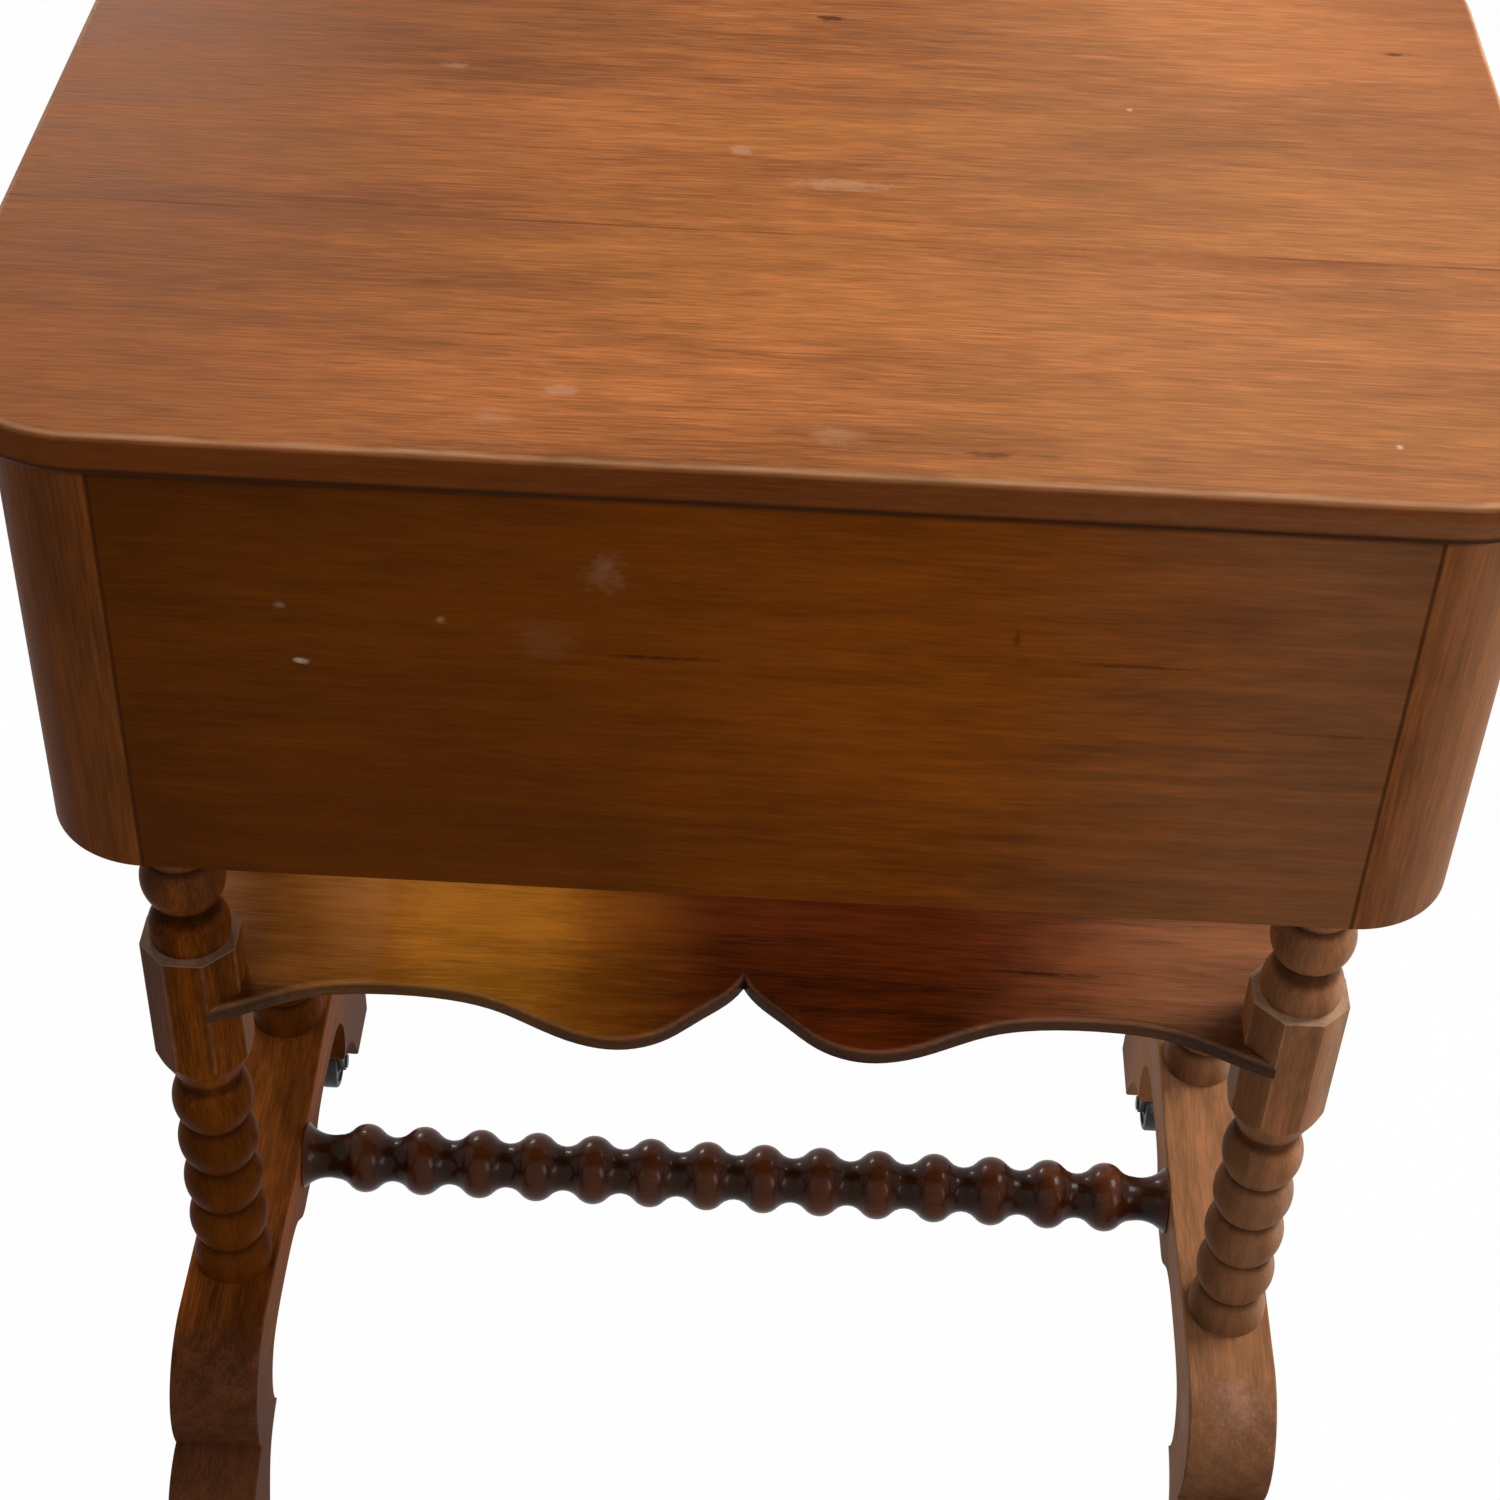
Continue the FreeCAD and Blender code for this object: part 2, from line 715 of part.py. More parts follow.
def make_caster_plate():
    """Return the front right plate with the socket for the horn's stem."""
    axis = vec(leg_x, caster_y, plate_z)
    plate = rod(plate_radius, axis, vec(0, 0, 1), plate_thickness)
    socket_length = plate_thickness + socket_depth
    plate = plate.fuse(rod(socket_radius, axis, vec(0, 0, 1), socket_length))
    bore = rod(stem_radius + running_clearance, axis, vec(0, 0, 1), socket_length - socket_cap)
    holes = [
        clearance_hole(x, y, z, caster_screw_length, caster_screw_radius) for x, y, z in caster_screw_places()
    ]
    return cut_all(plate, [bore] + holes)


def make_caster_horn():
    """Return the front right horn: stem, collar, bridge and two cheeks."""
    axis = vec(leg_x, caster_y, 0)
    cheek_in = wheel_width / 2 + wheel_side_gap
    cheek_out = cheek_in + cheek_thickness
    stem_top = plate_z + plate_thickness + socket_depth - socket_cap - stem_end_gap
    collar_top = plate_z - swivel_gap
    horn = block(-cheek_out, cheek_out, -bridge_half_depth, bridge_half_depth, bridge_bottom, bridge_top)
    corners = [
        vec(0, -bridge_half_depth, bridge_top), vec(0, bridge_half_depth, bridge_top),
        vec(0, caster_trail + cheek_boss_radius, wheel_radius),
        vec(0, caster_trail - cheek_boss_radius, wheel_radius),
    ]
    flank = Part.Face(Part.makePolygon(corners + corners[:1]))
    for start in (-cheek_out, cheek_in):
        horn = horn.fuse(flank.translated(vec(start, 0, 0)).extrude(vec(cheek_thickness, 0, 0)))
        boss = rod(cheek_boss_radius, vec(start, caster_trail, wheel_radius), vec(1, 0, 0), cheek_thickness)
        horn = horn.fuse(boss)
    horn = horn.fuse(rod(collar_radius, vec(0, 0, bridge_bottom), vec(0, 0, 1), collar_top - bridge_bottom))
    horn = horn.fuse(rod(stem_radius, vec(0, 0, bridge_bottom), vec(0, 0, 1), stem_top - bridge_bottom))
    pin_start = vec(-cheek_out - overrun, caster_trail, wheel_radius)
    horn = horn.cut(rod(axle_radius + fit_gap, pin_start, vec(1, 0, 0), 2 * (cheek_out + overrun)))
    return horn.removeSplitter().translated(axis)


def make_caster_wheel():
    """Return the front right wheel with its bore."""
    start = vec(leg_x - wheel_width / 2, caster_y + caster_trail, wheel_radius)
    wheel = rod(wheel_radius, start, vec(1, 0, 0), wheel_width)
    wheel = soften(wheel, wheel_edge_radius, lambda edge: edge.BoundBox.XLength < fit_gap)
    far_dish = start + vec(wheel_width - wheel_dish_depth, 0, 0)
    for dish_start in (start, far_dish):
        dish = rod(wheel_radius - wheel_rim_width, dish_start, vec(1, 0, 0), wheel_dish_depth)
        wheel = wheel.cut(dish.cut(rod(wheel_hub_radius, dish_start, vec(1, 0, 0), wheel_dish_depth)))
    return wheel.cut(rod(axle_radius + running_clearance, start, vec(1, 0, 0), wheel_width))


def make_caster_axle():
    """Return the front right axle with its two riveted heads."""
    cheek_out = wheel_width / 2 + wheel_side_gap + cheek_thickness
    tip = cheek_out + axle_head_height
    axle = turned([
        (axle_head_radius, -tip), (axle_head_radius, -cheek_out), (axle_radius, -cheek_out),
        (axle_radius, cheek_out), (axle_head_radius, cheek_out), (axle_head_radius, tip),
    ])
    axle.rotate(vec(0, 0, 0), vec(0, 1, 0), 90)
    return axle.translated(vec(leg_x, caster_y + caster_trail, wheel_radius))


# Assembly


def build():
    """Return every node's shape by name."""
    nodes = {}
    nodes["top_board_rear"], nodes["top_board_front"] = make_top()

    rear_panel = make_rear_panel()
    side_panel = make_side_panel()
    rails = {"bottom": make_rail(case_z), "middle": make_rail(middle_rail_z), "top": make_rail(upper_rail_z)}
    nodes["rear_panel"] = rear_panel
    for name, rail in rails.items():
        nodes["rail_" + name] = rail
    nodes["rail_top"] = cut_all(nodes["rail_top"], top_screw_holes)
    nodes["case_bottom"] = make_bottom()

    post = make_corner_post().cut(side_panel)
    leg = make_leg()
    cleat = make_cleat()
    foot = make_foot()
    cleat_screws = [
        screw(x, y, z, cleat_screw_length, cleat_screw_radius) for x, y, z in cleat_screw_places()
    ]
    caster_screws = [
        screw(x, y, z, caster_screw_length, caster_screw_radius) for x, y, z in caster_screw_places()
    ]
    dowel = rod(shelf_dowel_radius, dowel_start(), vec(-1, 0, 0), shelf_dowel_length)
    groups = {"shelf_dowels": [], "cleat_screws": [], "caster_screws": [], "caster_plates": []}
    leg_blocks = []
    for side_name, side in SIDES:
        nodes["side_panel_" + side_name] = across(side_panel, side)
        nodes["leg_cleat_" + side_name] = across(cleat, side)
        nodes["foot_" + side_name] = across(foot, side)
        nodes["drawer_runner_lower_" + side_name] = across(make_runner(case_z), side)
        nodes["drawer_runner_upper_" + side_name] = across(make_runner(middle_rail_z), side)
        kicker = across(make_ledge(upper_rail_z), side)
        nodes["kicker_" + side_name] = cut_all(kicker, top_screw_holes)
        groups["cleat_screws"] += [across(item, side) for item in cleat_screws]
        for end_name, end in ENDS:
            corner = end_name + "_" + side_name

            def place(shape):
                return across(endways(shape, end), side)

            joined = [rear_panel] if end < 0 else list(rails.values())
            nodes["corner_post_" + corner] = cut_all(place(post), joined)
            nodes["leg_" + corner] = place(leg)
            nodes["caster_horn_" + corner] = place(make_caster_horn())
            nodes["caster_wheel_" + corner] = place(make_caster_wheel())
            nodes["caster_axle_" + corner] = place(make_caster_axle())
            groups["caster_plates"].append(place(make_caster_plate()))
            groups["caster_screws"] += [place(item) for item in caster_screws]
            groups["shelf_dowels"].append(place(dowel))
            leg_blocks.append(nodes["leg_" + corner])

    hole = rod(shelf_dowel_radius + fit_gap, dowel_start(), vec(-1, 0, 0), shelf_dowel_length)
    holes = [across(endways(hole, end), side) for _, side in SIDES for _, end in ENDS]
    nodes["shelf"] = make_shelf(leg_blocks + holes)
    nodes["stretcher"] = make_stretcher()
    nodes["top_screws"] = group(top_screws)
    for name, solids in groups.items():
        nodes[name] = group(solids)

    openings = {
        "lower": (case_z + rail_thickness, middle_rail_z),
        "upper": (middle_rail_z + rail_thickness, upper_rail_z),
    }
    stops = []
    for level, (z0, z1) in openings.items():
        stops += make_stops(z0)
        for piece, shape in make_drawer(z0, z1).items():
            nodes["drawer_" + level + "_" + piece] = shape
    nodes["drawer_stops"] = group(stops)
    return nodes


def main():
    """Write each node, moved so that the origin is the middle of the box's base."""
    os.makedirs("parts", exist_ok=True)
    for name, shape in build().items():
        shape.translate(vec(0, -box_shift_y, 0))
        shape.exportStep("parts/" + name + ".step")
        bounds = shape.BoundBox
        print(name, len(shape.Solids), shape.isValid(), round(shape.Volume),
              [round(value, 1) for value in (bounds.XMin, bounds.XMax, bounds.YMin, bounds.YMax,
                                             bounds.ZMin, bounds.ZMax)])


main()
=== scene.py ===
"""Looks of the two-drawer sewing desk: its woods, its iron, its light and its camera."""

import logging
import math
from dataclasses import dataclass, field, replace
from enum import Enum
from typing import Dict, List, Optional, Sequence, Tuple, Union

import bpy
from mathutils import Matrix, Vector


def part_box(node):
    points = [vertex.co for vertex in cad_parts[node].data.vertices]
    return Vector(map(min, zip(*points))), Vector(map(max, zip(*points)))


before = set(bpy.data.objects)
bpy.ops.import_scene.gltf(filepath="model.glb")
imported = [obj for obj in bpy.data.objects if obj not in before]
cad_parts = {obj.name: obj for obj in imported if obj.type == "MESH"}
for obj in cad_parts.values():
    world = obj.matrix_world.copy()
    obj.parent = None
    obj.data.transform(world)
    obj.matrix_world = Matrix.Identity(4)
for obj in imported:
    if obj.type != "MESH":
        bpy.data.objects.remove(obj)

LOG = logging.getLogger("sewing_desk")

Colour = Tuple[float, float, float]
Point = Tuple[float, float, float]
Socket = bpy.types.NodeSocket
Value = Union[Socket, float, Sequence[float]]

# How far one plank's grain lies from the next: along it, across it and into it
PLANK_STEP: Point = (1.7, 0.9, 2.3)

# How many clouds of a wood's patterns there are to a metre: along the grain, across it and into it
DRIFT_SCALE: Point = (1.3, 5.0, 5.0)
WARM_SCALE: Point = (3.2, 15.0, 15.0)
CLOUD_SCALE: Point = (4.0, 9.0, 9.0)
MOTTLE_SCALE: Point = (14.0, 60.0, 60.0)
FIBRE_SCALE: Point = (60.0, 900.0, 900.0)
PORE_SCALE: Point = (60.0, 1500.0, 1500.0)
PORE_PATCH_SCALE: Point = (9.0, 70.0, 70.0)
HAIR_SCALE: Point = (26.0, 520.0, 520.0)

# How many clouds of the marks' patterns there are to a metre, on the desk's axes
RAGGED_SCALE: Point = (170.0, 330.0, 330.0)
GAP_SCALE: Point = (9.0, 9.0, 9.0)
POLISH_SCALE: Point = (60.0, 60.0, 60.0)
CHIP_SCALE: Point = (35.0, 35.0, 35.0)
SPREAD_SCALE: Point = (7.0, 12.0, 12.0)

# How many clouds of the iron's patterns there are to a metre, on the desk's axes
RUBBED_SCALE: Point = (90.0, 90.0, 90.0)
PIT_SCALE: Point = (700.0, 700.0, 700.0)
RUST_SCALE: Point = (140.0, 140.0, 140.0)


class Grain(Enum):
    """The way that a piece's fibres run."""

    WIDTH = "XYZ"
    DEPTH = "YXZ"
    HEIGHT = "ZXY"


class Axis(Enum):
    """One of the desk's three axes, by its place in a vector."""

    X = 0
    Y = 1
    Z = 2


class Bench:
    """The node tree of one material, with a short call for each kind of node."""

    def __init__(self, name: str) -> None:
        """Starts an empty material.

        Args:
            name: The material's name.
        """
        self.material = bpy.data.materials.new(name)
        self.material.use_nodes = True
        self.tree = self.material.node_tree
        self.tree.nodes.clear()
        self.place = self.add("ShaderNodeTexCoord").outputs["Object"]

    def plug(self, socket: Socket, value: Value) -> None:
        """Links a socket to another, or gives it a number, a vector or a colour.

        Args:
            socket: The input.
            value: What it takes.
        """
        if isinstance(value, bpy.types.NodeSocket):
            self.tree.links.new(value, socket)
        elif socket.type == "RGBA":
            socket.default_value = (value[0], value[1], value[2], 1.0)
        else:
            socket.default_value = value

    def add(self, kind: str, inputs: Optional[Dict[Union[int, str], Value]] = None,
            **settings: Union[str, bool]) -> bpy.types.Node:
        """Adds a node.

        Args:
            kind: The node's type.
            inputs: What its inputs take, by name or number.
            **settings: Its options.

        Returns:
            The node.
        """
        node = self.tree.nodes.new(kind)
        for key, setting in settings.items():
            setattr(node, key, setting)
        for key, value in (inputs or {}).items():
            self.plug(node.inputs[key], value)
        return node

    def math(self, operation: str, *values: Value, clamp: bool = False) -> Socket:
        """Returns the result of a sum.

        Args:
            operation: The kind of sum.
            *values: What goes in.
            clamp: Whether the result stays from 0 to 1.

        Returns:
            The result.
        """
        node = self.add("ShaderNodeMath", dict(enumerate(values)), operation=operation, use_clamp=clamp)
        return node.outputs[0]

    def vector(self, operation: str, *values: Value) -> Socket:
        """Returns the result of a vector sum.

        Args:
            operation: The kind of sum.
            *values: What goes in.

        Returns:
            The vector, or the number for a length.
        """
        node = self.add("ShaderNodeVectorMath", dict(enumerate(values)), operation=operation)
        return node.outputs["Value" if operation in ("LENGTH", "DISTANCE", "DOT_PRODUCT") else "Vector"]

    def split(self, vector: Socket) -> Tuple[Socket, Socket, Socket]:
        """Returns the three parts of a vector."""
        outputs = self.add("ShaderNodeSeparateXYZ", {"Vector": vector}).outputs
        return outputs[0], outputs[1], outputs[2]

    def join(self, x: Value, y: Value, z: Value) -> Socket:
        """Returns a vector of three parts."""
        return self.add("ShaderNodeCombineXYZ", {"X": x, "Y": y, "Z": z}).outputs[0]

    def coordinate(self, axis: Axis) -> Socket:
        """Returns the place along one of the desk's axes."""
        return self.split(self.place)[axis.value]

    def noise(self, vector: Socket, scale: Point, detail: float = 2.0, roughness: float = 0.5) -> Socket:
        """Returns a cloudy pattern from 0 to 1.

        Args:
            vector: The place that it reads.
            scale: How many clouds there are to a metre, on each axis.
            detail: How many finer layers it has.
            roughness: How strong these are.

        Returns:
            The pattern.
        """
        stretched = self.vector("MULTIPLY", vector, scale)
        inputs = {"Vector": stretched, "Scale": 1.0, "Detail": detail, "Roughness": roughness}
        return self.add("ShaderNodeTexNoise", inputs).outputs[0]

    def noise_line(self, value: Socket, detail: float = 2.0) -> Socket:
        """Returns an uneven pattern from 0 to 1 along one number."""
        inputs = {"W": value, "Scale": 1.0, "Detail": detail}
        return self.add("ShaderNodeTexNoise", inputs, noise_dimensions="1D").outputs[0]

    def fade(self, value: Value, low: float, high: float, start: float = 0.0, end: float = 1.0) -> Socket:
        """Returns a smooth step.

        Args:
            value: What it reads.
            low: Where it starts.
            high: Where it ends.
            start: What it gives at low.
            end: What it gives at high.

        Returns:
            The step.
        """
        inputs = {0: value, 1: low, 2: high, 3: start, 4: end}
        return self.add("ShaderNodeMapRange", inputs, interpolation_type="SMOOTHSTEP").outputs[0]

    def mix(self, share: Value, first: Value, second: Value, way: str = "MIX") -> Socket:
        """Returns two colours mixed.

        Args:
            share: How much of the second there is.
            first: The first colour.
            second: The second colour.
            way: How they mix.

        Returns:
            The colour.
        """
        node = self.add("ShaderNodeMix", {0: share, 6: first, 7: second}, data_type="RGBA", blend_type=way)
        return node.outputs[2]

    def ramp(self, value: Socket, stops: Sequence[Tuple[float, Colour]]) -> Socket:
        """Returns the colour that a number stands for.

        Args:
            value: The number.
            stops: Places and their colours.

        Returns:
            The colour.
        """
        node = self.add("ShaderNodeValToRGB", {0: value})
        elements = node.color_ramp.elements
        while len(elements) < len(stops):
            elements.new(1.0)
        for element, (position, colour) in zip(elements, stops):
            element.position = position
            element.color = (*colour, 1.0)
        return node.outputs[0]

    def grain_place(self, grain: Grain, seed: float) -> Socket:
        """Returns the place as (along, across, deep) in a plank of its own.

        Args:
            grain: The way that the fibres run.
            seed: Which plank it is.

        Returns:
            The place.
        """
        parts = dict(zip("XYZ", self.split(self.place)))
        turned = self.join(*[parts[letter] for letter in grain.value])
        return self.vector("ADD", turned, tuple(step * seed for step in PLANK_STEP))

    def finish(self, colour: Value, roughness: Value, height: Socket, relief: float,
               **constants: float) -> bpy.types.Material:
        """Joins the shader and the output.

        Args:
            colour: The base colour.
            roughness: The roughness.
            height: The surface's height, from 0 to 1.
            relief: How many metres that height stands for.
            **constants: The shader's other inputs, by name with underscores.

        Returns:
            The finished material.
        """
        bump = self.add("ShaderNodeBump", {"Height": height, "Strength": 1.0, "Distance": relief})
        inputs = {"Base Color": colour, "Roughness": roughness, "Normal": bump.outputs[0]}
        shader = self.add("ShaderNodeBsdfPrincipled", inputs)
        for name, value in constants.items():
            shader.inputs[name.replace("_", " ")].default_value = value
        self.add("ShaderNodeOutputMaterial", {"Surface": shader.outputs[0]})
        return self.material


@dataclass(frozen=True)
class Treatment:
    """A place on a surface that time or the maker has changed, or where light or shade is painted.

    Attributes:
        tint: The colour that shows there.
        strength: How much of it shows.
        dull: How much rougher it is there.
        rise: How much it stands up, as a share of the relief.
    """

    tint: Colour
    strength: float = 0.6
    dull: float = 0.0
    rise: float = 0.0

    def mask(self, bench: Bench) -> Socket:
        """Returns where the treatment shows, from 0 to 1: each kind has its own mask."""
        raise NotImplementedError


@dataclass(frozen=True)
class Spot(Treatment):
    """A knot, scuff, chip, crack, or patch of painted light or shade, with a ragged edge.

    Attributes:
        at: Its middle.
        size: Its half length on each axis.
        ragged: How far the edge wanders, as a share of the size.
        soft: How much of the size the edge takes.
    """

    at: Point = (0.0, 0.0, 0.0)
    size: Point = (0.01, 0.01, 0.01)
    ragged: float = 0.9
    soft: float = 0.65

    def mask(self, bench: Bench) -> Socket:
        """Returns a soft ragged spot.

        Args:
            bench: The material in hand.

        Returns:
            The mask.
        """
        away = bench.vector("SUBTRACT", bench.place, self.at)
        away = bench.vector("DIVIDE", away, self.size)
        away = bench.vector("LENGTH", away)
        edge = bench.noise(bench.place, RAGGED_SCALE, 3.0, 0.65)
        edge = bench.math("MULTIPLY_ADD", edge, 2.0 * self.ragged, -self.ragged)
        return bench.fade(bench.math("ADD", away, edge), 1.0, 1.0 - self.soft)


@dataclass(frozen=True)
class JointLine(Treatment):
    """The dirt that settles in the line between two glued pieces.

    Attributes:
        axis: The axis that the line is square to.
        place: Its place on that axis.
        half_width: Half of its width.
        both_sides: Whether the other side of the desk has the same line.
        breaks: How much of its length is missing, from 0 to 1.
    """

    axis: Axis = Axis.X
    place: float = 0.0
    half_width: float = 0.0006
    both_sides: bool = False
    breaks: float = 0.2

    def mask(self, bench: Bench) -> Socket:
        """Returns a thin uneven line.

        Args:
            bench: The material in hand.

        Returns:
            The mask.
        """
        value = bench.coordinate(self.axis)
        if self.both_sides:
            value = bench.math("ABSOLUTE", value)
        away = bench.math("ABSOLUTE", bench.math("SUBTRACT", value, self.place))
        line = bench.fade(away, self.half_width, 0.25 * self.half_width)
        low, high = 0.2 + 0.4 * self.breaks, 0.3 + 0.4 * self.breaks
        gaps = bench.fade(bench.noise(bench.place, GAP_SCALE), low, high)
        return bench.math("MULTIPLY", line, gaps)


@dataclass(frozen=True)
class Turning(Treatment):
    """Polish or a painted highlight on the crests of a turned piece, or dirt in its grooves.

    Attributes:
        axis: The axis that the piece was turned about.
        centre: The turning's middle on the two other axes, on the right and front side.
        mirrored: Whether the same turning stands on the other sides too.
        middle: Where the mirrored sides meet on the two other axes.
        low: The radius where it starts.
        high: The radius where it is full.
    """

    axis: Axis = Axis.Z
    centre: Tuple[float, float] = (0.0, 0.0)
    mirrored: bool = False
    middle: Tuple[float, float] = (0.0, 0.0)
    low: float = 0.01
    high: float = 0.02

    def mask(self, bench: Bench) -> Socket:
        """Returns a pattern that follows the radius and is broken up.

        Args:
            bench: The material in hand.

        Returns:
            The mask.
        """
        others = [part for index, part in enumerate(bench.split(bench.place)) if index != self.axis.value]
        reach = []
        for part, centre, middle in zip(others, self.centre, self.middle):
            value = bench.math("SUBTRACT", part, middle)
            if self.mirrored:
                value = bench.math("ABSOLUTE", value)
            reach.append(bench.math("SUBTRACT", value, centre - middle))
        radius = bench.vector("LENGTH", bench.join(reach[0], reach[1], 0.0))
        worn = bench.noise(bench.place, POLISH_SCALE, 3.0, 0.6)
        step = self.high - self.low
        radius = bench.math("ADD", radius, bench.math("MULTIPLY_ADD", worn, step, -0.5 * step))
        return bench.fade(radius, self.low, self.high)


@dataclass(frozen=True)
class BoardRim(Treatment):
    """Wear and a painted highlight along the upper edge of the round-cornered top.

    Attributes:
        half_width: Half of the top's width.
        half_depth: Half of the top's depth.
        corner: The radius of its corners.
        middle_y: The top's middle on Y.
        reach: How far in from the edge the wear goes.
        floor_z: The height where the wear starts.
        full_z: The height where it is full.
    """

    half_width: float = 0.28
    half_depth: float = 0.2
    corner: float = 0.068
    middle_y: float = 0.0
    # reach: How far in from the edge the wear and highlight go.
    reach: float = 0.003
    # floor_z: The height where the wear and highlight start.
    floor_z: float = 0.73
    full_z: float = 0.735

    def mask(self, bench: Bench) -> Socket:
        """Returns a band that follows the outline.

        Args:
            bench: The material in hand.

        Returns:
            The mask.
        """
        x, y, z = bench.split(bench.place)
        y = bench.math("SUBTRACT", y, self.middle_y)
        beyond = []
        for part, half in ((x, self.half_width), (y, self.half_depth)):
            past = bench.math("SUBTRACT", bench.math("ABSOLUTE", part), half - self.corner)
            beyond.append(bench.math("MAXIMUM", past, 0.0))
        # The distance from the rectangle that joins the corners' centres: on the outline it is the radius.
        away = bench.vector("LENGTH", bench.join(beyond[0], beyond[1], 0.0))
        chips = bench.noise(bench.place, CHIP_SCALE, 2.0, 0.5)
        away = bench.math("ADD", away, bench.math("MULTIPLY_ADD", chips, self.reach, -0.4 * self.reach))
        band = bench.fade(away, self.corner - self.reach, self.corner - 0.2 * self.reach)
        return bench.math("MULTIPLY", band, bench.fade(z, self.floor_z, self.full_z))


@dataclass(frozen=True)
class Spread(Treatment):
    """A tone that grows from one place to another along an axis.

    Attributes:
        axis: The axis.
        start: Where it starts.
        end: Where it is full.
        both_sides: Whether it grows the same way on both sides of the desk.
        middle: Where those sides meet.
        cloud: How far its edge wanders, in metres.
    """

    axis: Axis = Axis.X
    start: float = 0.0
    end: float = 0.1
    both_sides: bool = False
    middle: float = 0.0
    cloud: float = 0.03

    def mask(self, bench: Bench) -> Socket:
        """Returns a soft step with a cloudy edge.

        Args:
            bench: The material in hand.

        Returns:
            The mask.
        """
        value = bench.math("SUBTRACT", bench.coordinate(self.axis), self.middle)
        if self.both_sides:
            value = bench.math("ABSOLUTE", value)
        cloud = bench.noise(bench.place, SPREAD_SCALE, 3.0, 0.6)
        value = bench.math("ADD", value, bench.math("MULTIPLY_ADD", cloud, 2.0 * self.cloud, -self.cloud))
        return bench.fade(value, self.start - self.middle, self.end - self.middle)


@dataclass(frozen=True)
class WoodFinish:
    """A wood with its stain and polish.

    Attributes:
        stain: The main colour.
        grain: The way that the fibres run.
        warm: The colour of the patches where the stain took differently.
        warmth: How much those patches show.
        spread: How far the palest and darkest grain lie from the main colour, as a share of it.
        ring_pitch: How far apart the growth rings are.
        pith: How far the tree's middle lies from the surface.
        ring_share: How strong the growth rings are.
        streak_length: How long the streaks are.
        streak_width: How wide the streaks are.
        mottling: How strong the blotches between the streaks are.
        wander: How far the grain strays from straight.
        fibre: How strong the fine lines are.
        pores: How strong the dark pores are.
        hairs: How strong the long dark lines are.
        roughness: How dull the polish is.
        specular: How strongly the surface shines.
        coat: How much clear polish lies on it.
        coat_roughness: How dull that is.
        relief: How deep the fibres and pores are.
        show_through: How much of the grain shows through the treatments.
        treatments: What time has done to it, and the light and shade painted on it.
    """

    stain: Colour
    grain: Grain
    warm: Colour = (0.4, 0.13, 0.03)
    warmth: float = 0.3
    spread: float = 0.34
    ring_pitch: float = 0.006
    pith: float = 0.25
    ring_share: float = 0.25
    streak_length: float = 0.013
    streak_width: float = 0.0014
    mottling: float = 0.35
    wander: float = 0.012
    fibre: float = 0.09
    pores: float = 0.3
    hairs: float = 0.14
    roughness: float = 0.45
    specular: float = 0.08
    coat: float = 0.0
    coat_roughness: float = 0.2
    relief: float = 0.0001
    show_through: float = 0.14
    treatments: Tuple[Treatment, ...] = ()

    def tone(self, bench: Bench, plank: Socket, seed: float) -> Socket:
        """Returns how pale the grain is, around a half.

        Args:
            bench: The material in hand.
            plank: The place in the plank.
            seed: Which plank it is.

        Returns:
            The tone.
        """
        along, across, deep = bench.split(plank)
        swing = bench.math("SUBTRACT", across, PLANK_STEP[1] * seed)
        sunk = bench.math("SUBTRACT", deep, PLANK_STEP[2] * seed - self.pith)
        ring = bench.vector("LENGTH", bench.join(swing, sunk, 0.0))
        ring = bench.noise_line(bench.math("MULTIPLY", ring, 1.0 / self.ring_pitch), 3.0)
        wide, tall = 1.0 / self.streak_width, 1.0 / self.streak_length
        streak = bench.noise(plank, (tall, wide, wide), 2.0, 0.6)
        band = bench.noise(plank, (0.3 * tall, 0.2 * wide, 0.2 * wide), 3.0, 0.6)
        mottle = bench.noise(plank, MOTTLE_SCALE, 2.0, 0.5)
        cloud = bench.noise(plank, CLOUD_SCALE, 3.0, 0.55)
        tone = bench.math("MULTIPLY_ADD", ring, self.ring_share, 0.5 - 0.5 * self.ring_share)
        for part, weight in ((streak, 0.6), (band, 0.55), (mottle, self.mottling), (cloud, 0.9)):
            tone = bench.math("ADD", tone, bench.math("MULTIPLY_ADD", part, weight, -0.5 * weight))
        return tone

    def colour(self, bench: Bench, plank: Socket, tone: Socket) -> Socket:
        """Returns the stained wood's colour before what time has done to it.

        Args:
            bench: The material in hand.
            plank: The place in the plank.
            tone: How pale the grain is.

        Returns:
            The colour.
        """
        dark = tuple(part * (1.0 - self.spread) for part in self.stain)
        light = tuple(part * (1.0 + self.spread) for part in self.stain)
        colour = bench.ramp(tone, ((0.2, dark), (0.5, self.stain), (0.8, light)))
        patch = bench.fade(bench.noise(plank, WARM_SCALE, 3.0, 0.55), 0.42, 0.66)
        return bench.mix(bench.math("MULTIPLY", patch, self.warmth), colour, self.warm)

    def build(self, name: str, seed: float) -> bpy.types.Material:
        """Makes the material.

        Args:
            name: Its name.
            seed: Which plank it is cut from.

        Returns:
            The material.
        """
        bench = Bench(name)
        plank = bench.grain_place(self.grain, seed)
        drift = bench.noise(plank, DRIFT_SCALE, 2.0)
        drift = bench.math("MULTIPLY_ADD", drift, 2.0 * self.wander, -self.wander)
        plank = bench.vector("ADD", plank, bench.join(0.0, drift, bench.math("MULTIPLY", drift, 0.6)))
        tone = self.tone(bench, plank, seed)
        colour = self.colour(bench, plank, tone)

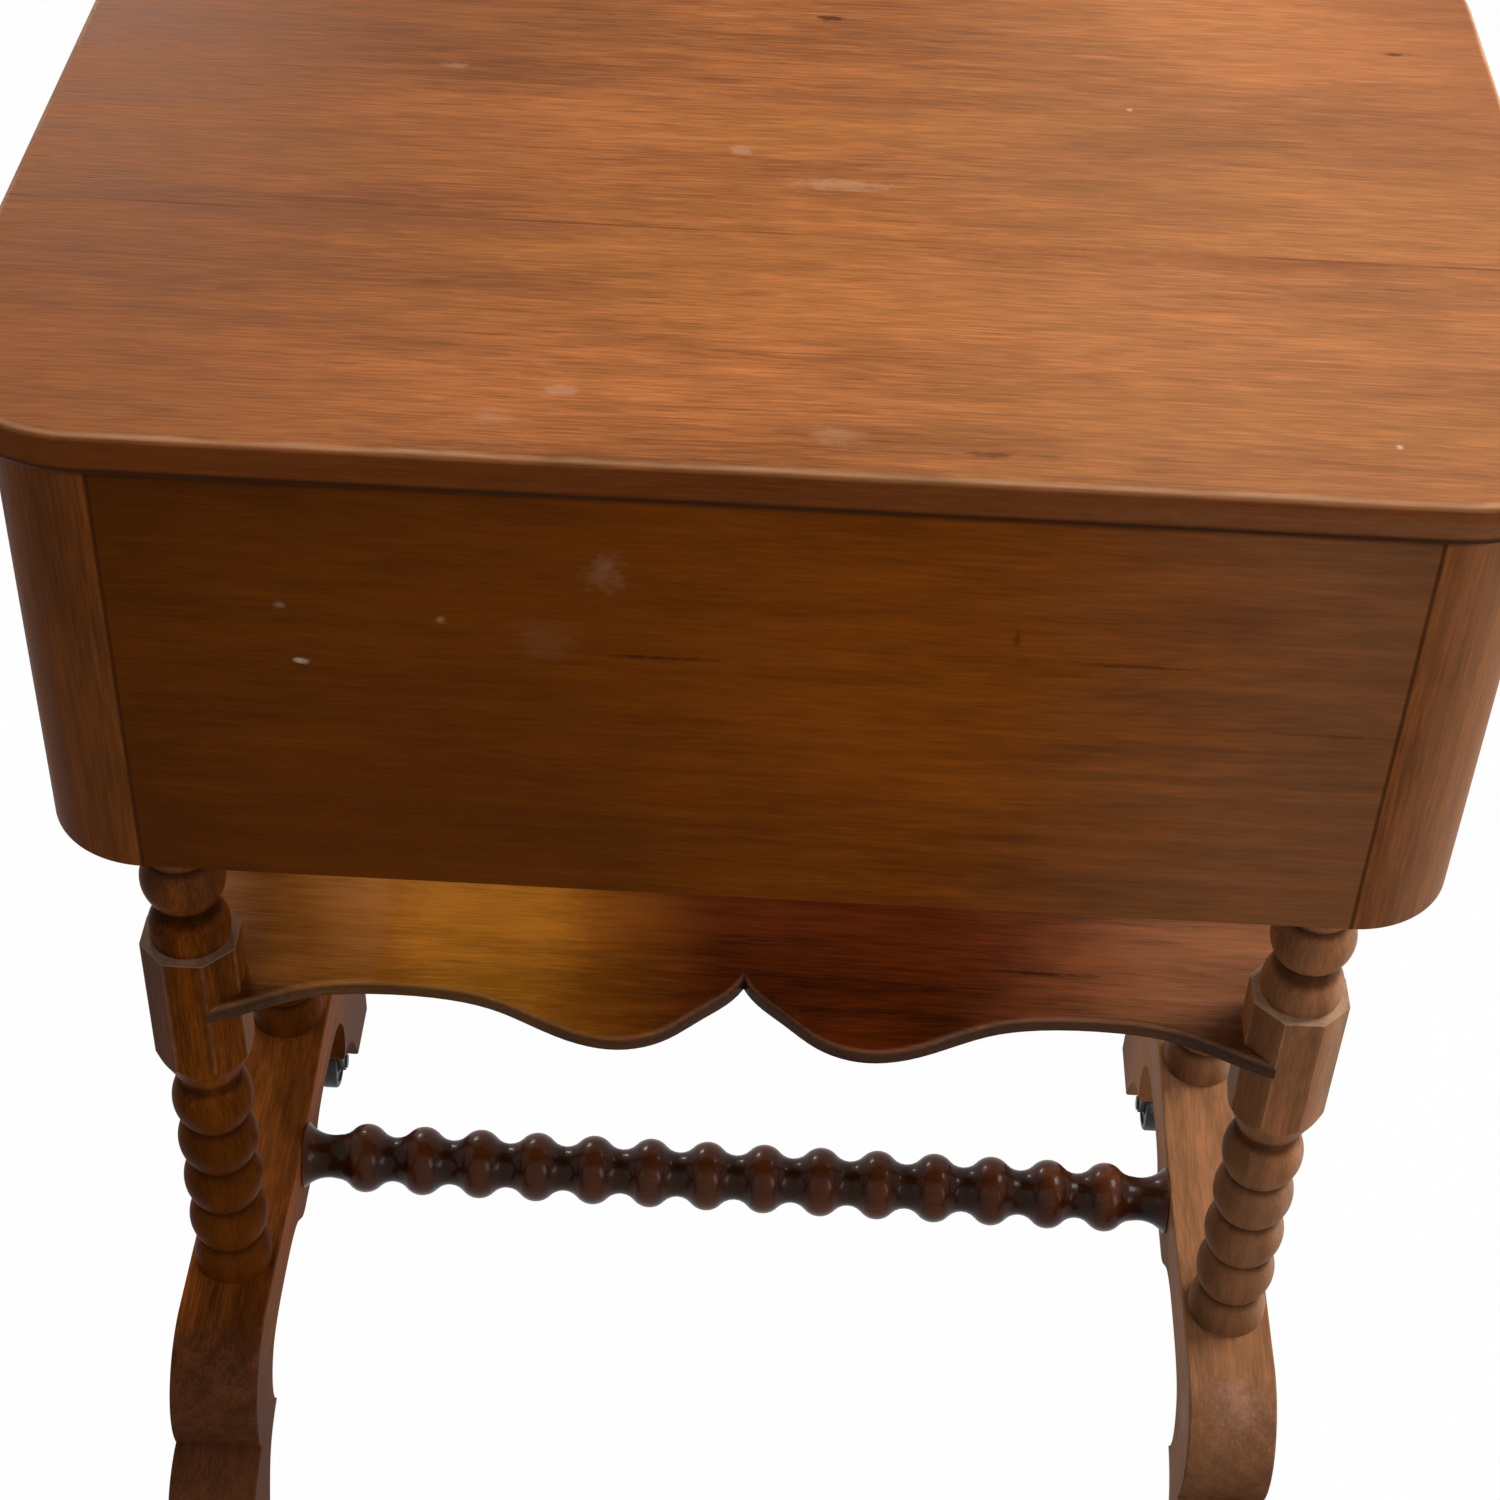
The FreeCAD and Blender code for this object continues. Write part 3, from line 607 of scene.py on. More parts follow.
        fibres = bench.noise(plank, FIBRE_SCALE, 3.0, 0.6)
        shade = bench.fade(fibres, 0.32, 0.68, 1.0 - self.fibre, 1.0 + 0.8 * self.fibre)
        colour = bench.mix(1.0, colour, bench.join(shade, shade, shade), "MULTIPLY")
        pores = bench.fade(bench.noise(plank, PORE_SCALE, 1.0), 0.62, 0.74)
        patches = bench.fade(bench.noise(plank, PORE_PATCH_SCALE, 2.0), 0.42, 0.62)
        pores = bench.math("MULTIPLY", pores, patches)
        pore_colour = tuple(0.3 * part for part in self.stain)
        colour = bench.mix(bench.math("MULTIPLY", pores, self.pores), colour, pore_colour)
        hairs = bench.fade(bench.noise(plank, HAIR_SCALE, 2.0, 0.6), 0.62, 0.76)
        colour = bench.mix(bench.math("MULTIPLY", hairs, self.hairs), colour, pore_colour)

        roughness = bench.math("MULTIPLY_ADD", tone, 0.3, self.roughness - 0.15)
        roughness = bench.math("MULTIPLY_ADD", pores, 0.15, roughness)
        height = bench.math("MULTIPLY_ADD", fibres, 0.5, 0.5)
        height = bench.math("SUBTRACT", height, bench.math("MULTIPLY", pores, 0.5))
        for treatment in self.treatments:
            mask = treatment.mask(bench)
            colour = bench.mix(bench.math("MULTIPLY", mask, treatment.strength), colour, treatment.tint)
            if treatment.dull:
                roughness = bench.math("MULTIPLY_ADD", mask, treatment.dull, roughness)
            if treatment.rise:
                height = bench.math("MULTIPLY_ADD", mask, treatment.rise, height)
        shade = bench.fade(tone, 0.2, 0.8, 1.0 - self.show_through, 1.0 + self.show_through)
        colour = bench.mix(1.0, colour, bench.join(shade, shade, shade), "MULTIPLY")
        return bench.finish(colour, roughness, height, self.relief, Specular_IOR_Level=self.specular,
                            Coat_Weight=self.coat, Coat_Roughness=self.coat_roughness)


@dataclass(frozen=True)
class IronFinish:
    """Black iron that has been handled, with a little rust.

    Attributes:
        black: The colour of the old blacking.
        bare: The colour where it is rubbed.
        rust: The colour of the rust.
        rubbed: How much of it is rubbed, from 0 to 1.
        rusty: How much of it is rusty, from 0 to 1.
        metallic: How metallic it is.
        roughness: How dull it is.
        relief: How deep the casting's pits are.
    """

    black: Colour
    bare: Colour
    rust: Colour
    rubbed: float = 0.3
    rusty: float = 0.2
    metallic: float = 0.7
    roughness: float = 0.5
    relief: float = 0.00012

    def build(self, name: str, seed: float) -> bpy.types.Material:
        """Makes the material.

        Args:
            name: Its name.
            seed: Where in the pattern it lies.

        Returns:
            The material.
        """
        bench = Bench(name)
        spot = bench.vector("ADD", bench.place, (seed, 2.0 * seed, 3.0 * seed))
        broad = bench.noise(spot, RUBBED_SCALE, 4.0, 0.6)
        fine = bench.noise(spot, PIT_SCALE, 3.0, 0.6)
        bare = bench.fade(broad, 0.72 - 0.3 * self.rubbed, 0.82 - 0.3 * self.rubbed)
        rust = bench.fade(bench.noise(spot, RUST_SCALE, 4.0, 0.7),
                          0.7 - 0.25 * self.rusty, 0.8 - 0.25 * self.rusty)
        colour = bench.mix(bare, self.black, self.bare)
        colour = bench.mix(rust, colour, self.rust)
        roughness = bench.math("MULTIPLY_ADD", fine, 0.3, self.roughness - 0.15)
        roughness = bench.math("MULTIPLY_ADD", rust, 0.25, roughness)
        height = bench.math("MULTIPLY_ADD", fine, 0.6, bench.math("MULTIPLY", rust, 0.4))
        return bench.finish(colour, roughness, height, self.relief, Metallic=self.metallic)


# Browns, as linear light
# Real dirt in grooves and a split, and painted shade under the top's overhang and on lower edges
GRIME_AND_SHADE: Colour = (0.02, 0.006, 0.001)
# Real dark joints and dents, and painted shade on the legs' sides
SOOT_AND_SHADE: Colour = (0.05, 0.015, 0.004)
PALE_SCUFF: Colour = (0.55, 0.3, 0.17)
WHITE_CHIP: Colour = (0.8, 0.6, 0.44)
# Real worn edges, and a painted highlight on the top's rim and the shelf's edge
WORN_EDGE_AND_HIGHLIGHT: Colour = (0.78, 0.45, 0.24)
# Painted light: the pool of light on the shelf
SHELF_LIGHT_PATCH: Colour = (0.52, 0.17, 0.01)
# Painted shade on the left of the top
TOP_LEFT_SHADE: Colour = (0.2, 0.058, 0.02)
# Painted light and sheen on the right of the top
TOP_RIGHT_LIGHT: Colour = (0.62, 0.32, 0.17)
# Painted light: the brightest part of the shelf's pool of light
SHELF_LIGHT_GLOW: Colour = (0.95, 0.4, 0.03)
# Real cracks and joints, and painted shadows beside the leg blocks on the shelf
CRACK_AND_SHADE: Colour = (0.045, 0.012, 0.002)
# Painted light: pieces made paler on the right, where the light falls
RIGHT_SIDE_LIGHT: Colour = (0.33, 0.168, 0.088)
# Painted shade on the top's edge face
TOP_EDGE_SHADE: Colour = (0.115, 0.024, 0.0)
# Real dust on the blocks' rims, painted light on the right legs' outer sides, and the left legs paler towards
# the top
DUST_AND_SHEEN: Colour = (0.5, 0.34, 0.23)
SHADED: Colour = (0.1, 0.025, 0.002)
# Painted shade on the feet's toes
TOE_SHADE: Colour = (0.085, 0.034, 0.02)
# Painted sheen on the right foot's toe
TOE_SHEEN: Colour = (0.42, 0.27, 0.24)
# Painted shade on the top's far corners
FAR_CORNER_SHADE: Colour = (0.2, 0.068, 0.034)
SEAM_BAND: Colour = (0.22, 0.075, 0.03)
HANDLED: Colour = (0.16, 0.09, 0.045)
# Polish and a painted highlight on the stretcher's bead crests
CREST_WEAR_AND_HIGHLIGHT: Colour = (0.16, 0.045, 0.012)

# Painted light: the right end of the pieces that face sideways, and of those on the drawer side, made paler
# where the light falls
SIDE_PAINTED_LIGHT = Spread(RIGHT_SIDE_LIGHT, 0.45, axis=Axis.X, start=0.1, end=0.2, cloud=0.0)
FRONT_PAINTED_LIGHT = Spread(RIGHT_SIDE_LIGHT, 0.3, axis=Axis.X, start=0.04, end=0.22, cloud=0.05)

# How far up from a groove's bottom its dirt reaches, in metres
GROOVE_DIRT = 0.0024

# The first plank that each kind of piece is cut from
PLANKS: Dict[str, float] = {
    "rear_panel": 5.0, "corner_post": 7.0, "side_panel": 15.0, "rail": 18.0, "inner": 23.0, "leg": 31.0,
    "leg_cleat": 41.0, "shelf": 45.0, "foot": 51.0, "stretcher": 61.0,
}


def dress(name: str, material: bpy.types.Material) -> None:
    """Gives a node of the desk its material.

    Args:
        name: The node.
        material: Its material.
    """
    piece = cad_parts[name]
    piece.data.materials.clear()
    piece.data.materials.append(material)
    LOG.info("%s wears %s", name, material.name)


@dataclass
class DeskTop:
    """The two boards of the top.

    Attributes:
        corner_radius: The radius of its corners.
        rim_reach: How far the wear and painted highlight go in from its edge.
        boards: The boards and the planks that they come from.
    """

    corner_radius: float = 0.0565
    rim_reach: float = 0.0027
    boards: Tuple[Tuple[str, float], ...] = (("top_board_rear", 3.0), ("top_board_front", 11.0))

    def marks(self) -> Tuple[Treatment, ...]:
        """Returns the seam, scuffs, knots and worn edge of the top, with its painted light, shade and
        highlight.

        Returns:
            The treatments.
        """
        low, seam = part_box("top_board_rear")
        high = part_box("top_board_front")[1]
        z = high.z
        half_depth, middle_y = (high.y - low.y) / 2, (high.y + low.y) / 2
        # Real wear and a painted highlight along the upper edge
        rim = BoardRim(WORN_EDGE_AND_HIGHLIGHT, 0.55, 0.1, half_width=high.x, half_depth=half_depth, middle_y=middle_y,
                       corner=self.corner_radius, reach=self.rim_reach, floor_z=z - 0.0016, full_z=z - 0.0006)
        # Painted shade: the top darker towards the left
        left_shade = Spread(TOP_LEFT_SHADE, 0.48, axis=Axis.X, start=-0.02, end=-0.24)
        # Painted shade on the top's edge face
        edge = Spread(TOP_EDGE_SHADE, 0.8, axis=Axis.Z, start=z - 0.0014, end=z - 0.003, cloud=0.0004)
        # Painted shadow line at the bottom of the top's edge
        underside_shadow = Spread(GRIME_AND_SHADE, 0.9, axis=Axis.Z, start=low.z + 0.0042, end=low.z + 0.0022, cloud=0.0005)
        seam_line = JointLine(SOOT_AND_SHADE, 0.5, axis=Axis.Y, place=seam.y, half_width=0.0009, breaks=0.7)
        bands = tuple(
            Spot(SEAM_BAND, strength, at=(x, y, z), size=(length, width, 0.01), soft=1.0, ragged=0.5)
            for strength, x, y, length, width in (
                (0.6, -0.15, seam.y - 0.004, 0.16, 0.012),
                (0.5, 0.16, seam.y - 0.004, 0.14, 0.009),
                (0.45, 0.03, 0.035, 0.12, 0.006),
            )
        )
        return (
            left_shade,
            # Painted light on the right and on the right end of the front edge, painted shade on the far
            # corners
            Spread(TOP_RIGHT_LIGHT, 0.18, axis=Axis.X, start=-0.02, end=0.16, cloud=0.05),
            Spot(FAR_CORNER_SHADE, 0.3, at=(low.x, 0.14, z), size=(0.17, 0.24, 0.03), soft=1.0, ragged=0.2),
            Spot(FAR_CORNER_SHADE, 0.4, at=(high.x, 0.14, z), size=(0.13, 0.24, 0.03), soft=1.0, ragged=0.2),
            edge,
            Spot(RIGHT_SIDE_LIGHT, 0.3, at=(0.28, -0.21, z - 0.01), size=(0.24, 0.03, 0.007), soft=1.0, ragged=0.4),
            underside_shadow,
            seam_line,
            *bands,
            Spot(PALE_SCUFF, 0.35, 0.2, at=(0.022, -0.1904, z), size=(0.012, 0.009, 0.01), soft=1.0),
            Spot(PALE_SCUFF, 0.3, 0.2, at=(-0.0913, -0.1908, z), size=(0.011, 0.008, 0.01), soft=1.0),
            Spot(PALE_SCUFF, 0.55, 0.15, at=(-0.0169, -0.0075, z), size=(0.006, 0.004, 0.01)),
            Spot(PALE_SCUFF, 0.5, 0.15, at=(0.0212, -0.0296, z), size=(0.024, 0.005, 0.01)),
            Spot(PALE_SCUFF, 0.4, 0.15, at=(-0.131, 0.0476, z), size=(0.006, 0.003, 0.01)),
            Spot(PALE_SCUFF, 0.45, 0.15, at=(-0.0699, -0.1726, z), size=(0.008, 0.004, 0.01)),
            Spot(WHITE_CHIP, 0.75, at=(0.2085, -0.1807, z), size=(0.0018, 0.0018, 0.01), soft=1.0),
            Spot(WHITE_CHIP, 0.65, at=(0.133, 0.0388, z), size=(0.0019, 0.0018, 0.01), soft=1.0),
            Spot(SOOT_AND_SHADE, 0.8, rise=-0.5, at=(0.0151, 0.1031, z), size=(0.007, 0.0028, 0.01)),
            Spot(SOOT_AND_SHADE, 0.7, rise=-0.5, at=(0.2436, 0.0957, z), size=(0.007, 0.002, 0.01)),
            Spot(SOOT_AND_SHADE, 0.5, rise=-0.4, at=(0.0727, -0.1972, z), size=(0.012, 0.0018, 0.01)),
            rim,
        )

    def build(self) -> None:
        """Dresses the boards."""
        wood = WoodFinish(
            stain=(0.37, 0.125, 0.038), grain=Grain.WIDTH, warm=(0.46, 0.168, 0.042), warmth=0.5, pith=0.6,
            spread=0.42, fibre=0.19, pores=0.45, hairs=0.3, streak_length=0.02, streak_width=0.001,
            roughness=0.5, specular=0.03, show_through=0.09, treatments=self.marks(),
        )
        for name, seed in self.boards:
            dress(name, wood.build(name + "_wood", seed))


@dataclass
class Case:
    """The drawer case: posts, panels, rails, runners and bottom.

    Attributes:
        post_joint: How far the joints between the posts and the wide pieces lie from the corner.
        shade_start: How far under a piece's upper edge the painted shade of the top's overhang starts.
        shade_full: How far under that edge the painted shade is full.
    """

    post_joint: float = 0.041
    shade_start: float = 0.0085
    shade_full: float = 0.005

    def joint_x(self) -> float:
        """Returns where the right-hand post meets the wide piece beside it."""
        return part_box("corner_post_rear_right")[1].x - self.post_joint

    def joint_line(self) -> JointLine:
        """Returns the dark lines beside the posts."""
        return JointLine(CRACK_AND_SHADE, 0.75, axis=Axis.X, place=self.joint_x(), half_width=0.0012, both_sides=True,
                         breaks=0.0)

    def shade_under_top(self, z: float) -> Spread:
        """Returns the painted shade of the top's overhang on a piece that reaches up to z."""
        return Spread(GRIME_AND_SHADE, 0.85, axis=Axis.Z, start=z - self.shade_start, end=z - self.shade_full,
                      cloud=0.0006)

    def panel_marks(self) -> Tuple[Treatment, ...]:
        """Returns the scuffs and cracks of the plain panel, its joint lines, and its painted light and shade.

        Returns:
            The treatments.
        """
        low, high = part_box("rear_panel")
        y = low.y
        joint = self.joint_x()
        cracks = tuple(
            Spot(CRACK_AND_SHADE, strength, rise=rise, at=(x, y, z), size=(wide, 0.004, tall), ragged=ragged, soft=0.9)
            for strength, rise, x, z, wide, tall, ragged in (
                (0.75, -0.8, -0.0353, 0.6481, 0.028, 0.0013, 0.8),
                (0.55, -0.8, 0.124, 0.655, 0.036, 0.0013, 1.0),
                (0.5, -0.6, 0.0884, 0.6642, 0.0014, 0.005, 0.7),
                (0.4, -0.4, 0.205, 0.628, 0.03, 0.0012, 1.1),
            )
        )
        return (
            # Painted shade on the left, beside the posts and towards the bottom, and painted light on the
            # right
            Spread(SHADED, 0.65, axis=Axis.X, start=0.1, end=-0.14, cloud=0.04),
            Spread(SHADED, 0.4, axis=Axis.X, start=joint - 0.045, end=joint, both_sides=True, cloud=0.008),
            Spread(SHADED, 0.25, axis=Axis.Z, start=0.6, end=0.54, cloud=0.02),
            Spread(RIGHT_SIDE_LIGHT, 0.31, axis=Axis.X, start=0.06, end=0.2, cloud=0.05),
            # Painted shade under the top's overhang
            self.shade_under_top(high.z),
            self.joint_line(),
            Spot(PALE_SCUFF, 0.2, 0.15, at=(-0.0526, y, 0.6831), size=(0.009, 0.02, 0.01), ragged=1.0,
                 soft=1.0),
            Spot(PALE_SCUFF, 0.07, 0.15, at=(-0.0733, y, 0.6534), size=(0.016, 0.02, 0.013), ragged=0.6,
                 soft=1.0),
            Spot(CRACK_AND_SHADE, 0.6, at=(-0.159, y, 0.6384), size=(0.0052, 0.004, 0.0034), soft=1.0),
            Spot(WHITE_CHIP, 0.6, at=(-0.159, y, 0.6387), size=(0.0036, 0.004, 0.002), soft=1.0),
            Spot(WHITE_CHIP, 0.16, at=(-0.1642, y, 0.6628), size=(0.003, 0.004, 0.0026), soft=1.0),
            Spot(WORN_EDGE_AND_HIGHLIGHT, 0.25, at=(-0.1093, y, 0.6598), size=(0.0022, 0.004, 0.002), soft=1.0),
            *cracks,
        )

    def post_marks(self, split: bool) -> Tuple[Treatment, ...]:
        """Returns the joint line of a post, its painted light and shade, and the long split of the near left
        one.

        Args:
            split: Whether the post has the split.

        Returns:
            The treatments.
        """
        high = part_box("corner_post_rear_right")[1]
        joint = self.joint_x()
        marks = (
            # Painted light on the right posts' outer sides, painted shade on the left ones
            Spread(RIGHT_SIDE_LIGHT, 0.55, axis=Axis.X, start=joint - 0.012, end=high.x - 0.004, cloud=0.008),
            Spread(SHADED, 0.5, axis=Axis.X, start=-joint + 0.02, end=-high.x, cloud=0.004),
            self.joint_line(),
            # Painted shade under the top's overhang
            self.shade_under_top(high.z),
        )
        crack = Spot(GRIME_AND_SHADE, 0.85, rise=-0.8, at=(-0.2605, -0.192, 0.688), size=(0.0012, 0.02, 0.035),
                     ragged=0.4)
        return marks + (crack,) if split else marks

    def build(self) -> None:
        """Dresses every piece of the case."""
        panel = WoodFinish(
            stain=(0.195, 0.049, 0.003), grain=Grain.WIDTH, warm=(0.235, 0.054, 0.004), warmth=0.45, pith=0.5,
            spread=0.34, streak_length=0.02, roughness=0.5, specular=0.02, treatments=self.panel_marks(),
        )
        # Painted light on the right-hand side panel
        side = WoodFinish(
            stain=(0.2, 0.056, 0.008), grain=Grain.DEPTH, warm=(0.23, 0.064, 0.009), warmth=0.4,
            spread=0.34, streak_length=0.02, roughness=0.48, specular=0.03, treatments=(SIDE_PAINTED_LIGHT,),
        )
        # Painted light on the rails' right ends
        rail = WoodFinish(
            stain=(0.23, 0.065, 0.01), grain=Grain.WIDTH, warm=(0.27, 0.08, 0.012), spread=0.28,
            specular=0.04, treatments=(FRONT_PAINTED_LIGHT,),
        )
        inner = WoodFinish(
            stain=(0.45, 0.28, 0.14), grain=Grain.DEPTH, warm=(0.5, 0.34, 0.18), spread=0.2, ring_share=0.5,
            ring_pitch=0.008, pores=0.15, roughness=0.75, specular=0.2,
            treatments=(Spread(HANDLED, 0.35, axis=Axis.Y, start=0.1, end=-0.2, cloud=0.06),),
        )
        dress("rear_panel", panel.build("rear_panel_wood", PLANKS["rear_panel"]))
        for number, end in enumerate(("rear", "front")):
            for count, side_name in enumerate(("left", "right")):
                post = WoodFinish(
                    stain=(0.18, 0.05, 0.009), grain=Grain.HEIGHT, warm=(0.23, 0.08, 0.022), warmth=0.4,
                    spread=0.5, fibre=0.16, streak_length=0.025, roughness=0.5, specular=0.02,
                    treatments=self.post_marks(end == "rear" and side_name == "left"),
                )
                name = "corner_post_" + end + "_" + side_name
                dress(name, post.build(name + "_wood", PLANKS["corner_post"] + 2 * number + count))
        for wood, kind, places in ((side, "side_panel", ("left", "right")),
                                   (rail, "rail", ("bottom", "middle", "top"))):
            for number, place in enumerate(places):
                name = kind + "_" + place
                dress(name, wood.build(name + "_wood", PLANKS[kind] + number))
        shared = inner.build("inner_wood", PLANKS["inner"])
        hidden = [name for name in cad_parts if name.startswith(("drawer_runner", "kicker"))]
        for name in sorted(hidden) + ["case_bottom", "drawer_stops", "shelf_dowels"]:
            dress(name, shared)


@dataclass
class Drawer:
    """A drawer with its dovetailed front and two knobs.

    Attributes:
        level: Which drawer it is.
        seed: Which plank its front is cut from.
    """

    level: str
    seed: float

    def build(self) -> None:
        """Dresses the drawer's pieces."""
        # Painted light on the front's right end
        front = WoodFinish(
            stain=(0.24, 0.068, 0.01), grain=Grain.WIDTH, warm=(0.29, 0.09, 0.014), pith=0.12, spread=0.3,
            ring_share=0.5, streak_length=0.02, roughness=0.42, specular=0.05, treatments=(FRONT_PAINTED_LIGHT,),
        )
        knob = WoodFinish(
            stain=(0.12, 0.03, 0.006), grain=Grain.DEPTH, warm=(0.17, 0.05, 0.012), spread=0.3,
            ring_pitch=0.003, roughness=0.3, specular=0.15, coat=0.08, coat_roughness=0.15,
        )
        bare = WoodFinish(
            stain=(0.48, 0.3, 0.15), grain=Grain.DEPTH, warm=(0.53, 0.36, 0.2), spread=0.2, ring_share=0.5,
            pores=0.15, roughness=0.7, specular=0.2,
        )
        plank = replace(bare, stain=(0.47, 0.29, 0.145), grain=Grain.WIDTH, ring_pitch=0.008)
        stem = "drawer_" + self.level + "_"
        dress(stem + "front", front.build(stem + "front_wood", self.seed))
        dress(stem + "knobs", knob.build(stem + "knob_wood", self.seed + 1.0))
        sides = bare.build(stem + "side_wood", self.seed + 2.0)
        for piece in ("side_left", "side_right"):
            dress(stem + piece, sides)
        cross = plank.build(stem + "board_wood", self.seed + 3.0)
        for piece in ("back", "bottom"):
            dress(stem + piece, cross)


@dataclass
class Legs:
    """The four turned legs and the cleats that take them.

    Attributes:
        groove_radius: The radius at the bottom of the grooves.
        block_edge: The radius where the block's corners start to wear.
        block_corner: The radius of the block's corners.
        block_top: The height of the block's worn upper rim.
    """

    groove_radius: float = 0.0139
    block_edge: float = 0.0221
    block_corner: float = 0.0236
    block_top: float = 0.3839

    def build(self) -> None:
        """Dresses the legs and cleats."""
        low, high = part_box("leg_front_right")
        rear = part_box("leg_rear_right")
        middle_y = (rear[0].y + high.y) / 2
        centre = ((low.x + high.x) / 2, (low.y + high.y) / 2)
        where = {"axis": Axis.Z, "centre": centre, "mirrored": True, "middle": (0.0, middle_y)}
        marks = (
            Turning(GRIME_AND_SHADE, 0.7, 0.1, low=self.groove_radius + GROOVE_DIRT,
                    high=self.groove_radius - 0.0002, **where),
            Turning(WORN_EDGE_AND_HIGHLIGHT, 0.3, low=self.block_edge, high=self.block_corner, **where),
            JointLine(DUST_AND_SHEEN, 0.5, axis=Axis.Z, place=self.block_top, half_width=0.0007, breaks=0.3),
        )
        # Painted shade on the lower part of the legs
        low_shade = Spread(SHADED, 0.78, axis=Axis.Z, start=0.31, end=0.26, cloud=0.01)
        # Painted light and shade by side: the left legs darker, more so on their outer side, and paler
        # towards the top; the right legs paler, most on their outer side, and darker on their inner side
        fade = {
            "left": (
                Spread(SHADED, 0.18, axis=Axis.X, start=0.1, end=-0.2, cloud=0.0),
                low_shade,
                Spread(DUST_AND_SHEEN, 0.1, axis=Axis.Z, start=0.4, end=0.46, cloud=0.01),
                Spread(SOOT_AND_SHADE, 0.5, axis=Axis.X, start=-0.246, end=-0.264, cloud=0.003),
            ),
            "right": (
                low_shade,
                Spread(RIGHT_SIDE_LIGHT, 0.48, axis=Axis.X, start=0.15, end=0.24, cloud=0.01),
                Spread(SOOT_AND_SHADE, 0.35, axis=Axis.X, start=0.237, end=0.226, cloud=0.003),
                Spread(DUST_AND_SHEEN, 0.3, axis=Axis.X, start=0.25, end=0.262, cloud=0.004),
            ),
        }
        for number, end in enumerate(("rear", "front")):
            for count, side in enumerate(("left", "right")):
                wood = WoodFinish(
                    stain=(0.185, 0.048, 0.004), grain=Grain.HEIGHT, warm=(0.22, 0.07, 0.016), warmth=0.4,
                    pith=0.03, spread=0.5, fibre=0.18, roughness=0.45, specular=0.012, show_through=0.22,
                    treatments=fade[side] + marks,
                )
                name = "leg_" + end + "_" + side
                dress(name, wood.build(name + "_wood", PLANKS["leg"] + 2 * number + count))
        # Painted light on the right cleat
        cleat = WoodFinish(
            stain=(0.15, 0.045, 0.012), grain=Grain.DEPTH, spread=0.3, roughness=0.5, specular=0.03,
            treatments=(SIDE_PAINTED_LIGHT,),
        ).build("leg_cleat_wood", PLANKS["leg_cleat"])
        for side in ("left", "right"):
            dress("leg_cleat_" + side, cleat)


@dataclass
class Shelf:
    """The wavy shelf between the legs."""

    def build(self) -> None:
        """Dresses the shelf."""
        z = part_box("shelf")[1].z
        wood = WoodFinish(
            stain=(0.105, 0.017, 0.0), grain=Grain.WIDTH, warm=(0.14, 0.026, 0.002), warmth=0.4, pith=0.3,
            spread=0.5, ring_share=0.4, streak_length=0.02, roughness=0.3, specular=0.05, show_through=0.32,
            treatments=(
                # Painted light: a pool of light on the left half, with its brightest part, and the far left
                # end paler
                Spread(SHELF_LIGHT_PATCH, 0.9, axis=Axis.X, start=-0.002, end=-0.115, cloud=0.014),
                Spot(SHELF_LIGHT_GLOW, 0.3, at=(-0.118, -0.05, z), size=(0.052, 0.13, 0.02), ragged=0.3, soft=0.6),
                Spread(WORN_EDGE_AND_HIGHLIGHT, 0.08, axis=Axis.X, start=-0.16, end=-0.17, cloud=0.004),
                # Painted light on the right end, and painted shade at the left end and beside the leg blocks
                Spread(RIGHT_SIDE_LIGHT, 0.38, axis=Axis.X, start=0.07, end=0.22, cloud=0.02),
                Spread(SHADED, 0.6, axis=Axis.X, start=-0.2, end=-0.226, cloud=0.004),
                Spot(CRACK_AND_SHADE, 0.8, at=(-0.213, -0.1, z), size=(0.042, 0.02, 0.02), ragged=0.3, soft=1.0),
                Spot(CRACK_AND_SHADE, 0.7, at=(0.213, -0.1, z), size=(0.05, 0.024, 0.02), ragged=0.3, soft=1.0),
                Spot(CRACK_AND_SHADE, 0.9, rise=-0.6, at=(0.13, -0.06, z), size=(0.034, 0.002, 0.01), ragged=0.8,
                     soft=0.9),
                # Painted highlight along the upper front edge and painted shade on its lower part
                Spread(WORN_EDGE_AND_HIGHLIGHT, 0.13, axis=Axis.Z, start=z - 0.0003, end=z - 0.001, cloud=0.0003),
                Spread(GRIME_AND_SHADE, 0.8, axis=Axis.Z, start=z - 0.0012, end=z - 0.0026, cloud=0.0004),
            ),
        )
        dress("shelf", wood.build("shelf_wood", PLANKS["shelf"]))


